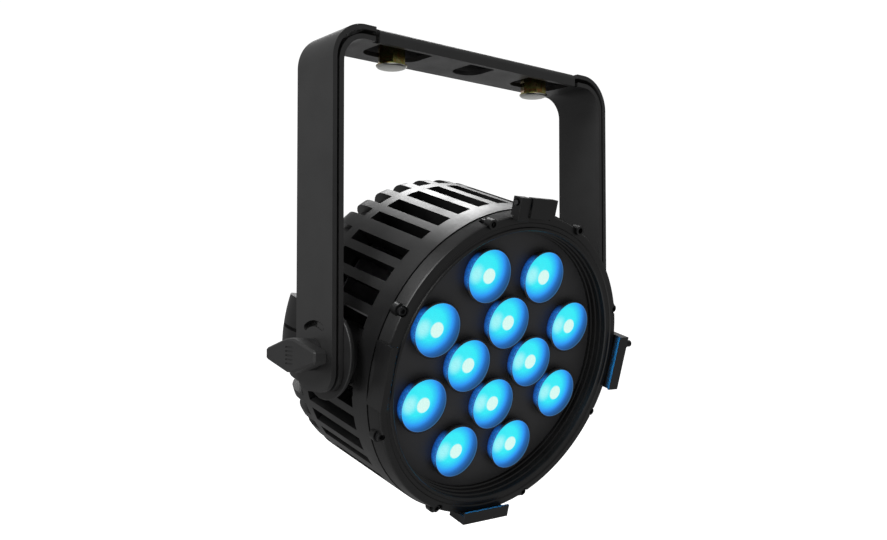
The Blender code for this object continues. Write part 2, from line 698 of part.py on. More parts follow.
def make_front_fittings():
    """Three channels and a latch hold an accessory frame in front of the bezel."""
    seat = BEZEL_FRONT - FIT
    inner = BEZEL_RADIUS - CLIP_OVERHANG
    wall = inner + 0.0018
    outer = {"left": BEZEL_RADIUS + 0.0015, "right": BEZEL_RADIUS + 0.0065, "bottom": BEZEL_RADIUS + 0.0035}
    for side in ("left", "right"):
        sign = -1 if side == "left" else 1
        outline = [
            (sign * inner, CLIP_FRONT),
            (sign * outer[side], CLIP_FRONT),
            (sign * outer[side], seat),
            (sign * wall, seat),
            (sign * wall, SLOT_BACK),
            (sign * inner, SLOT_BACK),
        ]
        channel = prism(outline, "Z", -CLIP_HALF_LENGTH, CLIP_HALF_LENGTH)
        head_solid("frame_clip_" + side, channel, cast_black)
    low = -BEZEL_RADIUS + CLIP_OVERHANG + 0.0018
    outline = [
        (CLIP_FRONT, low),
        (CLIP_FRONT, -outer["bottom"]),
        (seat, -outer["bottom"]),
        (seat, low - 0.0018 - 0.0012),
        (SLOT_BACK, low - 0.0018 - 0.0012),
        (SLOT_BACK, low),
    ]
    head_solid("frame_clip_bottom", prism(outline, "X", -CLIP_HALF_LENGTH, CLIP_HALF_LENGTH), cast_black)
    pin_start = outer["right"] + FIT
    pin = rod("X", ((CLIP_FRONT + seat) / 2, 0.0145), 0.0025, pin_start, pin_start + 0.0056, 14)
    head_solid("frame_lock_pin", pin, steel)


def make_latch():
    """A small flap that swings up on a pin, so that an accessory frame can slide in from above."""
    front = CLIP_FRONT + 0.0012
    low_corner = (LATCH_LEFT, front, BEZEL_RADIUS - 0.004)
    high_corner = (LATCH_SPLIT - FIT, LATCH_REAR, LATCH_TOP - 0.0004)
    base = head_solid("latch_base", box(low_corner, high_corner), cast_black)
    drum = rod("Y", (0, 0), BEZEL_RADIUS + 0.001, BEZEL_FRONT - 0.0005, 0.01, SEGMENTS)
    cut(base, "latch_seat", drum)
    hole = LATCH_PIN_RADIUS + FIT
    cut(base, "latch_base_hole", rod("X", LATCH_AXIS, hole, LATCH_LEFT - 0.001, LATCH_RIGHT + 0.001, 14))
    barrel = rod("X", LATCH_AXIS, LATCH_BARREL, LATCH_SPLIT, LATCH_RIGHT, 20)
    flap = head_solid("latch_flap", barrel, cast_black)
    span = (LATCH_SPLIT, LATCH_RIGHT)
    lip_low = BEZEL_RADIUS - CLIP_OVERHANG + 0.0014
    plate_low = LATCH_TOP - LATCH_PLATE
    outline = [
        (LATCH_AXIS[0], LATCH_TOP),
        (CLIP_FRONT, LATCH_TOP),
        (CLIP_FRONT, lip_low),
        (SLOT_BACK, lip_low),
        (SLOT_BACK, plate_low),
        (LATCH_AXIS[0], plate_low),
    ]
    join(flap, "flap_plate", prism(outline, "X", span[0], span[1]))
    cut(flap, "flap_hole", rod("X", LATCH_AXIS, hole, span[0] - 0.001, span[1] + 0.001, 14))
    pin = rod("X", LATCH_AXIS, LATCH_PIN_RADIUS, LATCH_LEFT - 0.0008, LATCH_RIGHT - 0.001, 14)
    head_solid("latch_pin", pin, steel)


def make_knobs():
    """A T-handle each side, whose stud runs through both arms and clamps them on the head."""
    tip = KNOB_TIP / 2
    end = KNOB_LENGTH / 2
    flat = 0.004
    wide = KNOB_WIDTH / 2
    for side, sign in (("left", -1), ("right", 1)):
        disc_span = sorted((sign * (BOSS_FACE + FIT), sign * (BOSS_FACE + FIT + DISC_THICKNESS)))
        pivot = (PIVOT_SETBACK, 0)
        washer = rod("X", pivot, DISC_RADIUS, *disc_span, 28)
        disc = head_solid("friction_disc_" + side, washer, black_plastic)
        through = sorted((sign * (BOSS_FACE - 0.01), sign * (OUTER_HALF_WIDTH + 0.01)))
        cut(disc, "disc_hole_" + side, rod("X", pivot, STUD_RADIUS + FIT, *through))
        axis = empty("knob_turn_" + side, (sign * OUTER_HALF_WIDTH, 0, PIVOT_Z))
        near = FIT
        joint = HUB_LENGTH
        far = joint + KNOB_THICKNESS
        outline = [(end, tip), (flat, wide), (-flat, wide), (-end, tip)]
        outline += [(-y, -z) for y, z in outline]
        handle = prism(outline, "X", *sorted((sign * (joint - 0.0003), sign * far)))
        bmesh.ops.recalc_face_normals(handle, faces=handle.faces)
        bmesh.ops.bevel(handle, geom=handle.edges[:], offset=0.0012, segments=1, affect="EDGES")
        knob = solid("knob_" + side, handle, black_plastic, axis)
        hub = rod("X", (0, 0), HUB_RADIUS, *sorted((sign * near, sign * joint)), 20)
        join(knob, "knob_hub_" + side, hub)
        socket = far - 0.004
        hole = rod("X", (0, 0), STUD_RADIUS + FIT, *sorted((sign * (near - 0.001), sign * socket)))
        cut(knob, "knob_socket_" + side, hole)
        start = INSIDE_RADIUS + 0.0005 - OUTER_HALF_WIDTH
        stud = rod("X", (0, 0), STUD_RADIUS, *sorted((sign * start, sign * (socket - FIT))))
        solid("knob_stud_" + side, stud, steel, axis)


make_housing()
make_bezel()
make_lenses()
make_heat_sink()
make_electronics()
make_rear()
make_front_fittings()
make_latch()
make_knobs()
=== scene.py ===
import json
import math

import bmesh
import bpy
from mathutils import Matrix, Vector


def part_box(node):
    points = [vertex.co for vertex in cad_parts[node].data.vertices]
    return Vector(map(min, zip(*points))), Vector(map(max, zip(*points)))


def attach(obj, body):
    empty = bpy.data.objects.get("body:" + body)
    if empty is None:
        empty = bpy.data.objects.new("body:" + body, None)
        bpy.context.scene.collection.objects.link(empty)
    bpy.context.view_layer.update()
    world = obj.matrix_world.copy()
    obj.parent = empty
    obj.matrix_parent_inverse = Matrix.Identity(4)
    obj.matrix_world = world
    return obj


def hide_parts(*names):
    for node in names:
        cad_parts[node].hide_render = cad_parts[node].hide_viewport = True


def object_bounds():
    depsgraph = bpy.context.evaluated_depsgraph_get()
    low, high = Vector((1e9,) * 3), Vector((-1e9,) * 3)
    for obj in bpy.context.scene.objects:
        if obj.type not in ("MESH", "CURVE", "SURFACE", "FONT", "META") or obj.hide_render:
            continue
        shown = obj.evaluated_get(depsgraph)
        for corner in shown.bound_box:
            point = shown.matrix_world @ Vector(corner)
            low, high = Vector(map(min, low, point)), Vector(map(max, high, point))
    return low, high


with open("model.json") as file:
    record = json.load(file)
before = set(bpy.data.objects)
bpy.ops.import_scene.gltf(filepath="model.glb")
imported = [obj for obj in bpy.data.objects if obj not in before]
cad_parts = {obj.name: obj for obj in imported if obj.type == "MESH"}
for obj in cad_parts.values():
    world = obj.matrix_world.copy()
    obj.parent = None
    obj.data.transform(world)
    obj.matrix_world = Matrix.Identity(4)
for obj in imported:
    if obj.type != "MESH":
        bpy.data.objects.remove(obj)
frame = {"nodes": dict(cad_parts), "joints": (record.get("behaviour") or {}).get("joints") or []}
cad_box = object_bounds()

# ---- Places, from the frame ----
joints = {joint["name"]: joint for joint in frame["joints"]}
PIVOT = Vector(joints["head_tilt"]["pos_m"])
press = joints["button_menu_press"]["axis"]
TILT = math.atan2(-press[2], -press[1])
PIVOT_SETBACK = 0.0365  # the tilt axis behind the lens fronts
HEAD = Matrix.Translation(PIVOT) @ Matrix.Rotation(TILT, 4, "X") @ Matrix.Translation((0, -PIVOT_SETBACK, 0))
OUTER_HALF_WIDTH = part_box("outer_bracket")[1].x
INNER_HALF_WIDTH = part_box("inner_bracket")[1].x
ARM_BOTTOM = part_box("outer_bracket")[0].z
HALF_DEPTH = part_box("inner_bracket")[1].y

# ---- Sizes that the frame doesn't name, in metres; the head's own Y is 0 at the lens fronts ----
SHEET = 0.0032
ARM_GAP = 0.00174
CROSSBAR_GAP = 0.003
BEND_RADIUS = 0.0244
ARM_CORNER = 0.014
FLANGE_HEIGHT = 0.0097
FLANGE_LENGTH = 0.182
BOLT_SPACING = 0.134
BORE_RADIUS = 0.0940
BEZEL_RADIUS = 0.1050
BODY_RADIUS = 0.1070
LOBE_RADIUS = 0.1135
INSIDE_RADIUS = 0.0960
LENS_RADIUS = 0.0191
INNER_RING = 0.02885
OUTER_RING = 0.0660
BEZEL_FRONT = -0.0079
PARTING_LINE = 0.0028
PLATE_FRONT = 0.006
VENT_FRONT = 0.0187
VENT_REAR = 0.0751
BODY_REAR = 0.110
STUD_RADIUS = 0.005
CLIP_SLOT_BACK = BEZEL_FRONT - 0.0048
CLIP_FRONT = CLIP_SLOT_BACK - 0.0016
CLIP_HALF_LENGTH = 0.0204
EAR_RING = BEZEL_RADIUS - 0.0003
EARS = 8
POCKET_BACK = 0.0012
FINE = 0.0003


# ---- Materials ----
def new_material(name, colour, roughness, metallic=0.0):
    made = bpy.data.materials.new(name)
    made.use_nodes = True
    shader = made.node_tree.nodes["Principled BSDF"]
    shader.inputs["Base Color"].default_value = (*colour, 1)
    shader.inputs["Roughness"].default_value = roughness
    shader.inputs["Metallic"].default_value = metallic
    return made, shader


def link(made, out, socket):
    made.node_tree.links.new(out, socket)


def node(made, kind, **values):
    new = made.node_tree.nodes.new(kind)
    for key, value in values.items():
        if key in new.inputs:
            new.inputs[key].default_value = value
        else:
            setattr(new, key, value)
    return new


def ramp(made, stops):
    new = node(made, "ShaderNodeValToRGB")
    while len(new.color_ramp.elements) < len(stops):
        new.color_ramp.elements.new(0.5)
    for element, (place, colour) in zip(new.color_ramp.elements, stops):
        element.position = place
        element.color = (*colour, 1) if len(colour) == 3 else colour
    return new


def grained(name, dark, light, rough, grain, bump, metallic=0.0, blotch=45.0, distance=0.0002):
    """A coat with a fine grain: noise varies its colour and roughness and bumps its surface."""
    made, shader = new_material(name, light, rough[0], metallic)
    place = node(made, "ShaderNodeTexCoord")
    fine = node(made, "ShaderNodeTexNoise", Scale=grain, Detail=3.0, Roughness=0.6)
    broad = node(made, "ShaderNodeTexNoise", Scale=blotch, Detail=5.0, Roughness=0.55)
    for texture in (fine, broad):
        link(made, place.outputs["Object"], texture.inputs["Vector"])
    colours = ramp(made, [(0.3, dark), (0.7, light)])
    link(made, broad.outputs["Fac"], colours.inputs["Fac"])
    link(made, colours.outputs["Color"], shader.inputs["Base Color"])
    spread = node(made, "ShaderNodeMapRange")
    spread.inputs["From Min"].default_value = 0.3
    spread.inputs["From Max"].default_value = 0.7
    spread.inputs["To Min"].default_value = rough[0]
    spread.inputs["To Max"].default_value = rough[1]
    link(made, broad.outputs["Fac"], spread.inputs["Value"])
    link(made, spread.outputs["Result"], shader.inputs["Roughness"])
    bumps = node(made, "ShaderNodeBump", Strength=bump, Distance=distance)
    link(made, fine.outputs["Fac"], bumps.inputs["Height"])
    link(made, bumps.outputs["Normal"], shader.inputs["Normal"])
    return made


def zinc_material():
    """Yellow zinc plate, whose passivation shifts between gold, green and rose."""
    made, shader = new_material("zinc_plate", (0.7, 0.55, 0.25), 0.24, 1.0)
    place = node(made, "ShaderNodeTexCoord")
    broad = node(made, "ShaderNodeTexNoise", Scale=130.0, Detail=2.0, Distortion=1.4)
    link(made, place.outputs["Object"], broad.inputs["Vector"])
    stops = [
        (0.30, (0.30, 0.10, 0.06)),
        (0.42, (0.42, 0.24, 0.07)),
        (0.52, (0.30, 0.34, 0.10)),
        (0.62, (0.60, 0.44, 0.20)),
        (0.74, (0.22, 0.10, 0.05)),
    ]
    colours = ramp(made, stops)
    link(made, broad.outputs["Fac"], colours.inputs["Fac"])
    link(made, colours.outputs["Color"], shader.inputs["Base Color"])
    fine = node(made, "ShaderNodeTexNoise", Scale=2200.0, Detail=2.0)
    link(made, place.outputs["Object"], fine.inputs["Vector"])
    bumps = node(made, "ShaderNodeBump", Strength=0.25, Distance=0.0001)
    link(made, fine.outputs["Fac"], bumps.inputs["Height"])
    link(made, bumps.outputs["Normal"], shader.inputs["Normal"])
    return made


def radius_from_axis(made):
    """The distance from an object's own Y axis, in metres."""
    place = node(made, "ShaderNodeTexCoord")
    parts = node(made, "ShaderNodeSeparateXYZ")
    link(made, place.outputs["Object"], parts.inputs["Vector"])
    flat = node(made, "ShaderNodeCombineXYZ")
    link(made, parts.outputs["X"], flat.inputs["X"])
    link(made, parts.outputs["Z"], flat.inputs["Z"])
    length = node(made, "ShaderNodeVectorMath", operation="LENGTH")
    link(made, flat.outputs["Vector"], length.inputs[0])
    return length.outputs["Value"], parts, place


def lens_face_material():
    """A lit optic: a white source in the middle, cyan round it and a deep blue rim; the off-centre glow and a pale
    flare beside the source are painted light, as the optic looks from one side.
    """
    made, shader = new_material("lens_face", (0.01, 0.10, 0.22), 0.12)
    radius, parts, place = radius_from_axis(made)
    glow = node(made, "ShaderNodeVectorMath", operation="DISTANCE")
    link(made, place.outputs["Object"], glow.inputs[0])
    glow.inputs[1].default_value = (-0.0050, 0.0, 0.0035)  # the glow is painted a little to one side of the source
    scaled = node(made, "ShaderNodeMath", operation="DIVIDE")
    link(made, glow.outputs["Value"], scaled.inputs[0])
    scaled.inputs[1].default_value = 0.0240
    stops = [
        (0.00, (0.060, 0.88, 0.92)),
        (0.42, (0.035, 0.86, 0.93)),
        (0.53, (0.028, 0.64, 0.93)),
        (0.62, (0.024, 0.47, 0.95)),
        (0.69, (0.026, 0.30, 0.90)),
        (0.80, (0.014, 0.11, 0.42)),
        (0.93, (0.012, 0.045, 0.14)),
        (1.00, (0.012, 0.05, 0.13)),
    ]
    haze = ramp(made, stops)
    link(made, scaled.outputs["Value"], haze.inputs["Fac"])
    # a pale flare of painted light beside the source
    flare = node(made, "ShaderNodeVectorMath", operation="DISTANCE")
    link(made, place.outputs["Object"], flare.inputs[0])
    flare.inputs[1].default_value = (-0.0115, 0.0, 0.0012)
    pale = node(made, "ShaderNodeMapRange")
    pale.interpolation_type = "SMOOTHSTEP"
    pale.inputs["From Min"].default_value = 0.0020
    pale.inputs["From Max"].default_value = 0.0085
    pale.inputs["To Min"].default_value = 0.85
    pale.inputs["To Max"].default_value = 0.0
    link(made, flare.outputs["Value"], pale.inputs["Value"])
    paled = node(made, "ShaderNodeMixRGB")
    paled.inputs["Color2"].default_value = (0.42, 0.96, 0.94, 1)
    link(made, pale.outputs["Result"], paled.inputs["Fac"])
    link(made, haze.outputs["Color"], paled.inputs["Color1"])
    source = node(made, "ShaderNodeMapRange")
    source.interpolation_type = "SMOOTHSTEP"
    source.inputs["From Min"].default_value = 0.0045
    source.inputs["From Max"].default_value = 0.0057
    source.inputs["To Min"].default_value = 1.0
    source.inputs["To Max"].default_value = 0.0
    link(made, radius, source.inputs["Value"])
    colours = node(made, "ShaderNodeMixRGB")
    colours.inputs["Color2"].default_value = (0.74, 1.00, 0.88, 1)
    link(made, source.outputs["Result"], colours.inputs["Fac"])
    link(made, paled.outputs["Color"], colours.inputs["Color1"])
    edge = ramp(made, [(0.900, (0, 0, 0)), (0.945, (0.05, 0.12, 0.22)), (0.965, (0.05, 0.12, 0.22)), (0.985, (0, 0, 0))])
    spread = node(made, "ShaderNodeMath", operation="DIVIDE")
    link(made, radius, spread.inputs[0])
    spread.inputs[1].default_value = LENS_RADIUS
    link(made, spread.outputs["Value"], edge.inputs["Fac"])
    rimmed = node(made, "ShaderNodeVectorMath", operation="ADD")
    link(made, colours.outputs["Color"], rimmed.inputs[0])
    link(made, edge.outputs["Color"], rimmed.inputs[1])
    facets = node(made, "ShaderNodeTexVoronoi", Scale=1500.0)
    link(made, place.outputs["Object"], facets.inputs["Vector"])
    dots = node(made, "ShaderNodeMapRange")
    dots.inputs["From Max"].default_value = 0.6
    dots.inputs["To Min"].default_value = 1.05
    dots.inputs["To Max"].default_value = 0.88
    link(made, facets.outputs["Distance"], dots.inputs["Value"])
    lit = node(made, "ShaderNodeVectorMath", operation="SCALE")
    link(made, rimmed.outputs["Vector"], lit.inputs[0])
    link(made, dots.outputs["Result"], lit.inputs["Scale"])
    link(made, lit.outputs["Vector"], shader.inputs["Emission Color"])
    shader.inputs["Emission Strength"].default_value = 1.0
    shader.inputs["Specular IOR Level"].default_value = 0.25
    return made


def lens_side_material():
    """The side wall of a lens: a deep blue glow painted in a patch on its -X side, darker towards the plate."""
    made, shader = new_material("lens_side", (0.028, 0.030, 0.034), 0.4)
    place = node(made, "ShaderNodeTexCoord")
    parts = node(made, "ShaderNodeSeparateXYZ")
    link(made, place.outputs["Object"], parts.inputs["Vector"])
    depth = node(made, "ShaderNodeMapRange")
    depth.inputs["From Max"].default_value = PLATE_FRONT
    link(made, parts.outputs["Y"], depth.inputs["Value"])
    colours = ramp(made, [(0.0, (0.012, 0.20, 0.70)), (0.6, (0.010, 0.13, 0.55)), (1.0, (0.006, 0.05, 0.28))])
    link(made, depth.outputs["Result"], colours.inputs["Fac"])
    dots = node(made, "ShaderNodeTexVoronoi", Scale=1100.0)
    link(made, place.outputs["Object"], dots.inputs["Vector"])
    mottle = node(made, "ShaderNodeMapRange")
    mottle.inputs["From Max"].default_value = 0.6
    mottle.inputs["To Min"].default_value = 1.25
    mottle.inputs["To Max"].default_value = 0.55
    link(made, dots.outputs["Distance"], mottle.inputs["Value"])
    # the glow is painted only in a patch on the wall's -X side, near its top
    away = node(made, "ShaderNodeVectorMath", operation="DISTANCE")
    link(made, place.outputs["Object"], away.inputs[0])
    away.inputs[1].default_value = (-LENS_RADIUS, PLATE_FRONT / 2, 0.0040)
    fade = node(made, "ShaderNodeMapRange")
    fade.interpolation_type = "SMOOTHSTEP"
    fade.inputs["From Min"].default_value = 0.0070
    fade.inputs["From Max"].default_value = 0.0150
    fade.inputs["To Min"].default_value = 1.0
    fade.inputs["To Max"].default_value = 0.0
    link(made, away.outputs["Value"], fade.inputs["Value"])
    level = node(made, "ShaderNodeMath", operation="MULTIPLY")
    link(made, mottle.outputs["Result"], level.inputs[0])
    link(made, fade.outputs["Result"], level.inputs[1])
    lit = node(made, "ShaderNodeVectorMath", operation="SCALE")
    link(made, colours.outputs["Color"], lit.inputs[0])
    link(made, level.outputs["Value"], lit.inputs["Scale"])
    link(made, lit.outputs["Vector"], shader.inputs["Emission Color"])
    shader.inputs["Emission Strength"].default_value = 0.9
    return made


powder_coat = grained("powder_coat", (0.026, 0.026, 0.0262), (0.033, 0.033, 0.0332), (0.38, 0.48), 2600.0, 0.28)
cast_black = grained("cast_black", (0.0085, 0.0085, 0.0088), (0.0130, 0.0130, 0.0132), (0.32, 0.44), 1500.0, 0.20)
black_plastic = grained("black_plastic", (0.018, 0.018, 0.0182), (0.024, 0.024, 0.0245), (0.40, 0.50), 3200.0, 0.25)
plate_grey = grained("plate_grey", (0.045, 0.045, 0.046), (0.052, 0.052, 0.055), (0.42, 0.50), 4000.0, 0.12)
# near-black matte used as painted shadow in the gap between the brackets
painted_shadow_black = grained("painted_shadow_black", (0.0012, 0.0012, 0.0013), (0.0020, 0.0020, 0.0021), (0.75, 0.85), 2600.0, 0.2)
steel = grained("steel", (0.16, 0.16, 0.165), (0.26, 0.26, 0.27), (0.28, 0.42), 1800.0, 0.2, 1.0)
black_steel = grained("black_steel", (0.008, 0.008, 0.009), (0.016, 0.016, 0.017), (0.26, 0.40), 1800.0, 0.2, 0.5)
pale_zinc = grained("pale_zinc", (0.50, 0.50, 0.47), (0.68, 0.68, 0.64), (0.24, 0.36), 1600.0, 0.15, 1.0)
aluminium = grained("aluminium", (0.30, 0.30, 0.31), (0.44, 0.44, 0.45), (0.34, 0.48), 1400.0, 0.25, 1.0)
circuit_board = grained("circuit_board", (0.008, 0.045, 0.022), (0.014, 0.075, 0.036), (0.35, 0.5), 900.0, 0.3)
rubber = grained("rubber", (0.016, 0.016, 0.016), (0.024, 0.024, 0.024), (0.60, 0.75), 2400.0, 0.3)
dark_window = grained("dark_window", (0.004, 0.006, 0.010), (0.006, 0.010, 0.016), (0.05, 0.09), 300.0, 0.02)
zinc_plate = zinc_material()
lens_face = lens_face_material()
lens_side = lens_side_material()


# ---- Mesh helpers ----
def add_object(name, built, look, place=None, angle=32):
    bmesh.ops.recalc_face_normals(built, faces=built.faces)
    mesh = bpy.data.meshes.new(name)
    built.to_mesh(mesh)
    built.free()
    mesh.shade_smooth()
    mesh.set_sharp_from_angle(angle=math.radians(angle))
    if look:
        mesh.materials.append(look)
    made = bpy.data.objects.new(name, mesh)
    bpy.context.scene.collection.objects.link(made)
    if place is not None:
        made.matrix_world = place
    return made


def boolean(target, operation, built):
    """Cuts, joins or intersects, with the result applied and the helper removed."""
    helper = add_object(target.name + "_helper", built, None, target.matrix_world.copy())
    step = target.modifiers.new("boolean", "BOOLEAN")
    step.operation = operation
    step.object = helper
    step.solver = "EXACT"
    bake(target)
    bpy.data.objects.remove(helper)


def bake(target):
    """Applies all modifiers to the mesh."""
    bpy.context.view_layer.update()
    graph = bpy.context.evaluated_depsgraph_get()
    mesh = bpy.data.meshes.new_from_object(target.evaluated_get(graph))
    target.modifiers.clear()
    target.data = mesh


def soften(target, width, segments=2, angle=35, smooth=35):
    """Rounds the sharp edges, as casting, bending and moulding leave them."""
    step = target.modifiers.new("round_edges", "BEVEL")
    step.width = width
    step.segments = segments
    step.limit_method = "ANGLE"
    step.angle_limit = math.radians(angle)
    step.miter_outer = "MITER_ARC"
    bake(target)
    target.data.shade_smooth()
    target.data.set_sharp_from_angle(angle=math.radians(smooth))
    normals = target.modifiers.new("flat_faces_stay_flat", "WEIGHTED_NORMAL")
    normals.keep_sharp = True
    bake(target)


def finish_piece(piece, body, slot, *nodes):
    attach(piece, body)
    if nodes:
        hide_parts(*nodes)
    return piece


def box(low, high):
    built = bmesh.new()
    size = [b - a for a, b in zip(low, high)]
    middle = [(a + b) / 2 for a, b in zip(low, high)]
    bmesh.ops.create_cube(built, size=1, matrix=Matrix.Translation(middle) @ Matrix.Diagonal((*size, 1)))
    return built


def prism(outline, axis, low, high):
    order = {"X": lambda u, v, w: (w, u, v), "Y": lambda u, v, w: (u, w, v), "Z": lambda u, v, w: (u, v, w)}[axis]
    built = bmesh.new()
    face = built.faces.new([built.verts.new(order(u, v, low)) for u, v in outline])
    moved = bmesh.ops.extrude_face_region(built, geom=[face])["geom"]
    shift = order(0, 0, high - low)
    bmesh.ops.translate(built, vec=shift, verts=[v for v in moved if isinstance(v, bmesh.types.BMVert)])
    return built


def circle(centre, radius, count):
    steps = [2 * math.pi * k / count for k in range(count)]
    return [(centre[0] + radius * math.cos(a), centre[1] + radius * math.sin(a)) for a in steps]


def rod(axis, centre, radius, low, high, count=48):
    return prism(circle(centre, radius, count), axis, low, high)


def arc(centre, radius, start, end, count):
    angles = [math.radians(start + (end - start) * k / count) for k in range(count + 1)]
    return [(centre[0] + radius * math.cos(a), centre[1] + radius * math.sin(a)) for a in angles]


def turned(profile, count, axis="Y", ring=False, start=0.0, sweep=2 * math.pi):
    """A profile of (radius, along) turned about an axis through the origin; a part sweep gets end caps."""
    whole = abs(sweep - 2 * math.pi) < 1e-9
    built = bmesh.new()
    rows = []
    for radius, along in profile:
        steps = count if whole else count + 1
        row = []
        for k in range(steps):
            a = start + sweep * k / count
            side, up = radius * math.sin(a), radius * math.cos(a)
            point = {"Y": (side, along, up), "X": (along, side, up), "Z": (side, up, along)}[axis]
            if radius == 0 and row:
                row.append(row[0])
            else:
                row.append(built.verts.new(point))
        rows.append(row)
    pairs = list(zip(rows, rows[1:])) + ([(rows[-1], rows[0])] if ring else [])
    for first, second in pairs:
        for k in range(count):
            after = (k + 1) % len(first)
            corners = list(dict.fromkeys([first[k], first[after], second[after], second[k]]))
            if len(corners) > 2:
                built.faces.new(corners)
    if not whole:
        for end in (0, -1):
            built.faces.new([row[end] for row in rows])
    return built


def on_ring(radius, angle):
    return (radius * math.sin(angle), radius * math.cos(angle))


def rounded_rectangle(low, high, corner, count=6):
    middles = [(high[0] - corner, high[1] - corner), (low[0] + corner, high[1] - corner)]
    middles += [(low[0] + corner, low[1] + corner), (high[0] - corner, low[1] + corner)]
    outline = []
    for k, middle in enumerate(middles):
        outline += arc(middle, corner, 90 * k, 90 * k + 90, count)
    return outline


# ---- Yoke ----
def bent_strip(half_width, top, bottom, bend):
    inner = bend - SHEET
    cx = half_width - bend
    cz = top - bend
    outline = [(-half_width, bottom)] + arc((-cx, cz), bend, 180, 90, 24)
    outline += arc((cx, cz), bend, 90, 0, 24) + [(half_width, bottom)]
    outline += [(half_width - SHEET, bottom)] + arc((cx, cz), inner, 0, 90, 24)
    return outline + arc((-cx, cz), inner, 90, 180, 24) + [(-half_width + SHEET, bottom)]


def rounded_tail():
    low = ARM_BOTTOM + ARM_CORNER
    side = HALF_DEPTH - ARM_CORNER
    outline = [(HALF_DEPTH, 0.02), (-HALF_DEPTH, 0.02)]
    return outline + arc((-side, low), ARM_CORNER, 180, 270, 20) + arc((side, low), ARM_CORNER, 270, 360, 20)


def arc_slot(radius, width, spread, extra=0.0):
    """A curved slot with round ends about the tilt axis, as an outline in Y and Z."""
    half = width / 2
    end = spread - half / radius
    up = 90
    outline = arc((0, PIVOT.z), radius + half, up - math.degrees(end), up + math.degrees(end), 24)
    middle = (radius * math.cos(math.radians(up) + end), PIVOT.z + radius * math.sin(math.radians(up) + end))
    outline += arc(middle, half, up + math.degrees(end), up + math.degrees(end) + 180, 8)[1:-1]
    outline += arc((0, PIVOT.z), radius - half, up + math.degrees(end), up - math.degrees(end), 24)
    middle = (radius * math.cos(math.radians(up) - end), PIVOT.z + radius * math.sin(math.radians(up) - end))
    start = up - math.degrees(end) + 180
    outline += arc(middle, half, start, start + 180, 8)[1:-1]
    return outline


def band(radius, width, start, end, count):
    """An outline in Y and Z about the tilt axis; angles in degrees from straight up towards +Y."""
    outer = arc((0, PIVOT.z), radius + width / 2, 90 - start, 90 - end, count)
    inner = arc((0, PIVOT.z), radius - width / 2, 90 - end, 90 - start, count)
    return outer + inner


def make_outer_bracket():
    outline = bent_strip(OUTER_HALF_WIDTH, 0, ARM_BOTTOM, BEND_RADIUS)
    piece = add_object("outer_bracket_sheet", prism(outline, "Y", -HALF_DEPTH, HALF_DEPTH), powder_coat)
    reach = OUTER_HALF_WIDTH + 0.01
    boolean(piece, "INTERSECT", prism(rounded_tail(), "X", -reach, reach))
    half = FLANGE_LENGTH / 2
    bend = 1.5 * SHEET
    front = -HALF_DEPTH
    relief = half + 0.003
    boolean(piece, "DIFFERENCE", box((-relief, front - 0.001, -0.01), (relief, front + bend, 0.001)))
    lap = front + bend + 0.0002
    outline = [(lap, 0)] + arc((front + bend, -bend), bend, 90, 180, 10)
    outline += [(front, -FLANGE_HEIGHT), (front + SHEET, -FLANGE_HEIGHT)]
    outline += arc((front + bend, -bend), bend - SHEET, 180, 90, 6) + [(lap, -SHEET)]
    boolean(piece, "UNION", prism(outline, "X", -half, half))
    for sign in (-1, 1):
        span = sorted((sign * (OUTER_HALF_WIDTH + 0.001), sign * (OUTER_HALF_WIDTH - SHEET - 0.0008)))
        boolean(piece, "DIFFERENCE", prism(arc_slot(0.0192, 0.0038, math.radians(36)), "X", *span))
        boolean(piece, "DIFFERENCE", rod("Z", (sign * BOLT_SPACING / 2, 0), STUD_RADIUS + FINE, -0.005, 0.001))
        boolean(piece, "DIFFERENCE", rod("Z", (sign * BOLT_SPACING / 2, 0), 0.0105, -0.0002, 0.001))
    boolean(piece, "DIFFERENCE", rod("X", (0, PIVOT.z), STUD_RADIUS + FINE, -reach, reach))
    soften(piece, 0.00045)
    # near-black painted shadow on the outer crossbar's underside over the inner bracket, where the notches look up
    # into the gap
    piece.data.materials.append(painted_shadow_black)
    for polygon in piece.data.polygons:
        centre = polygon.center
        in_painted_shadow = abs(centre.x) < half and -SHEET - 0.0004 < centre.z < -SHEET + 0.0004
        polygon.material_index = 1 if in_painted_shadow and centre.y > front + SHEET else 0
    finish_piece(piece, "yoke", "powder_coat", "outer_bracket")


def notch(middle, width, bottom, top):
    corner = min(0.0105, 0.45 * width)
    side = width / 2 - corner
    outline = [(middle + width / 2, -HALF_DEPTH - 0.001)]
    outline += arc((middle + side, 0.009 - corner), corner, 0, 90, 16)
    outline += arc((middle - side, 0.009 - corner), corner, 90, 180, 16)
    return prism(outline + [(middle - width / 2, -HALF_DEPTH - 0.001)], "Z", bottom, top)


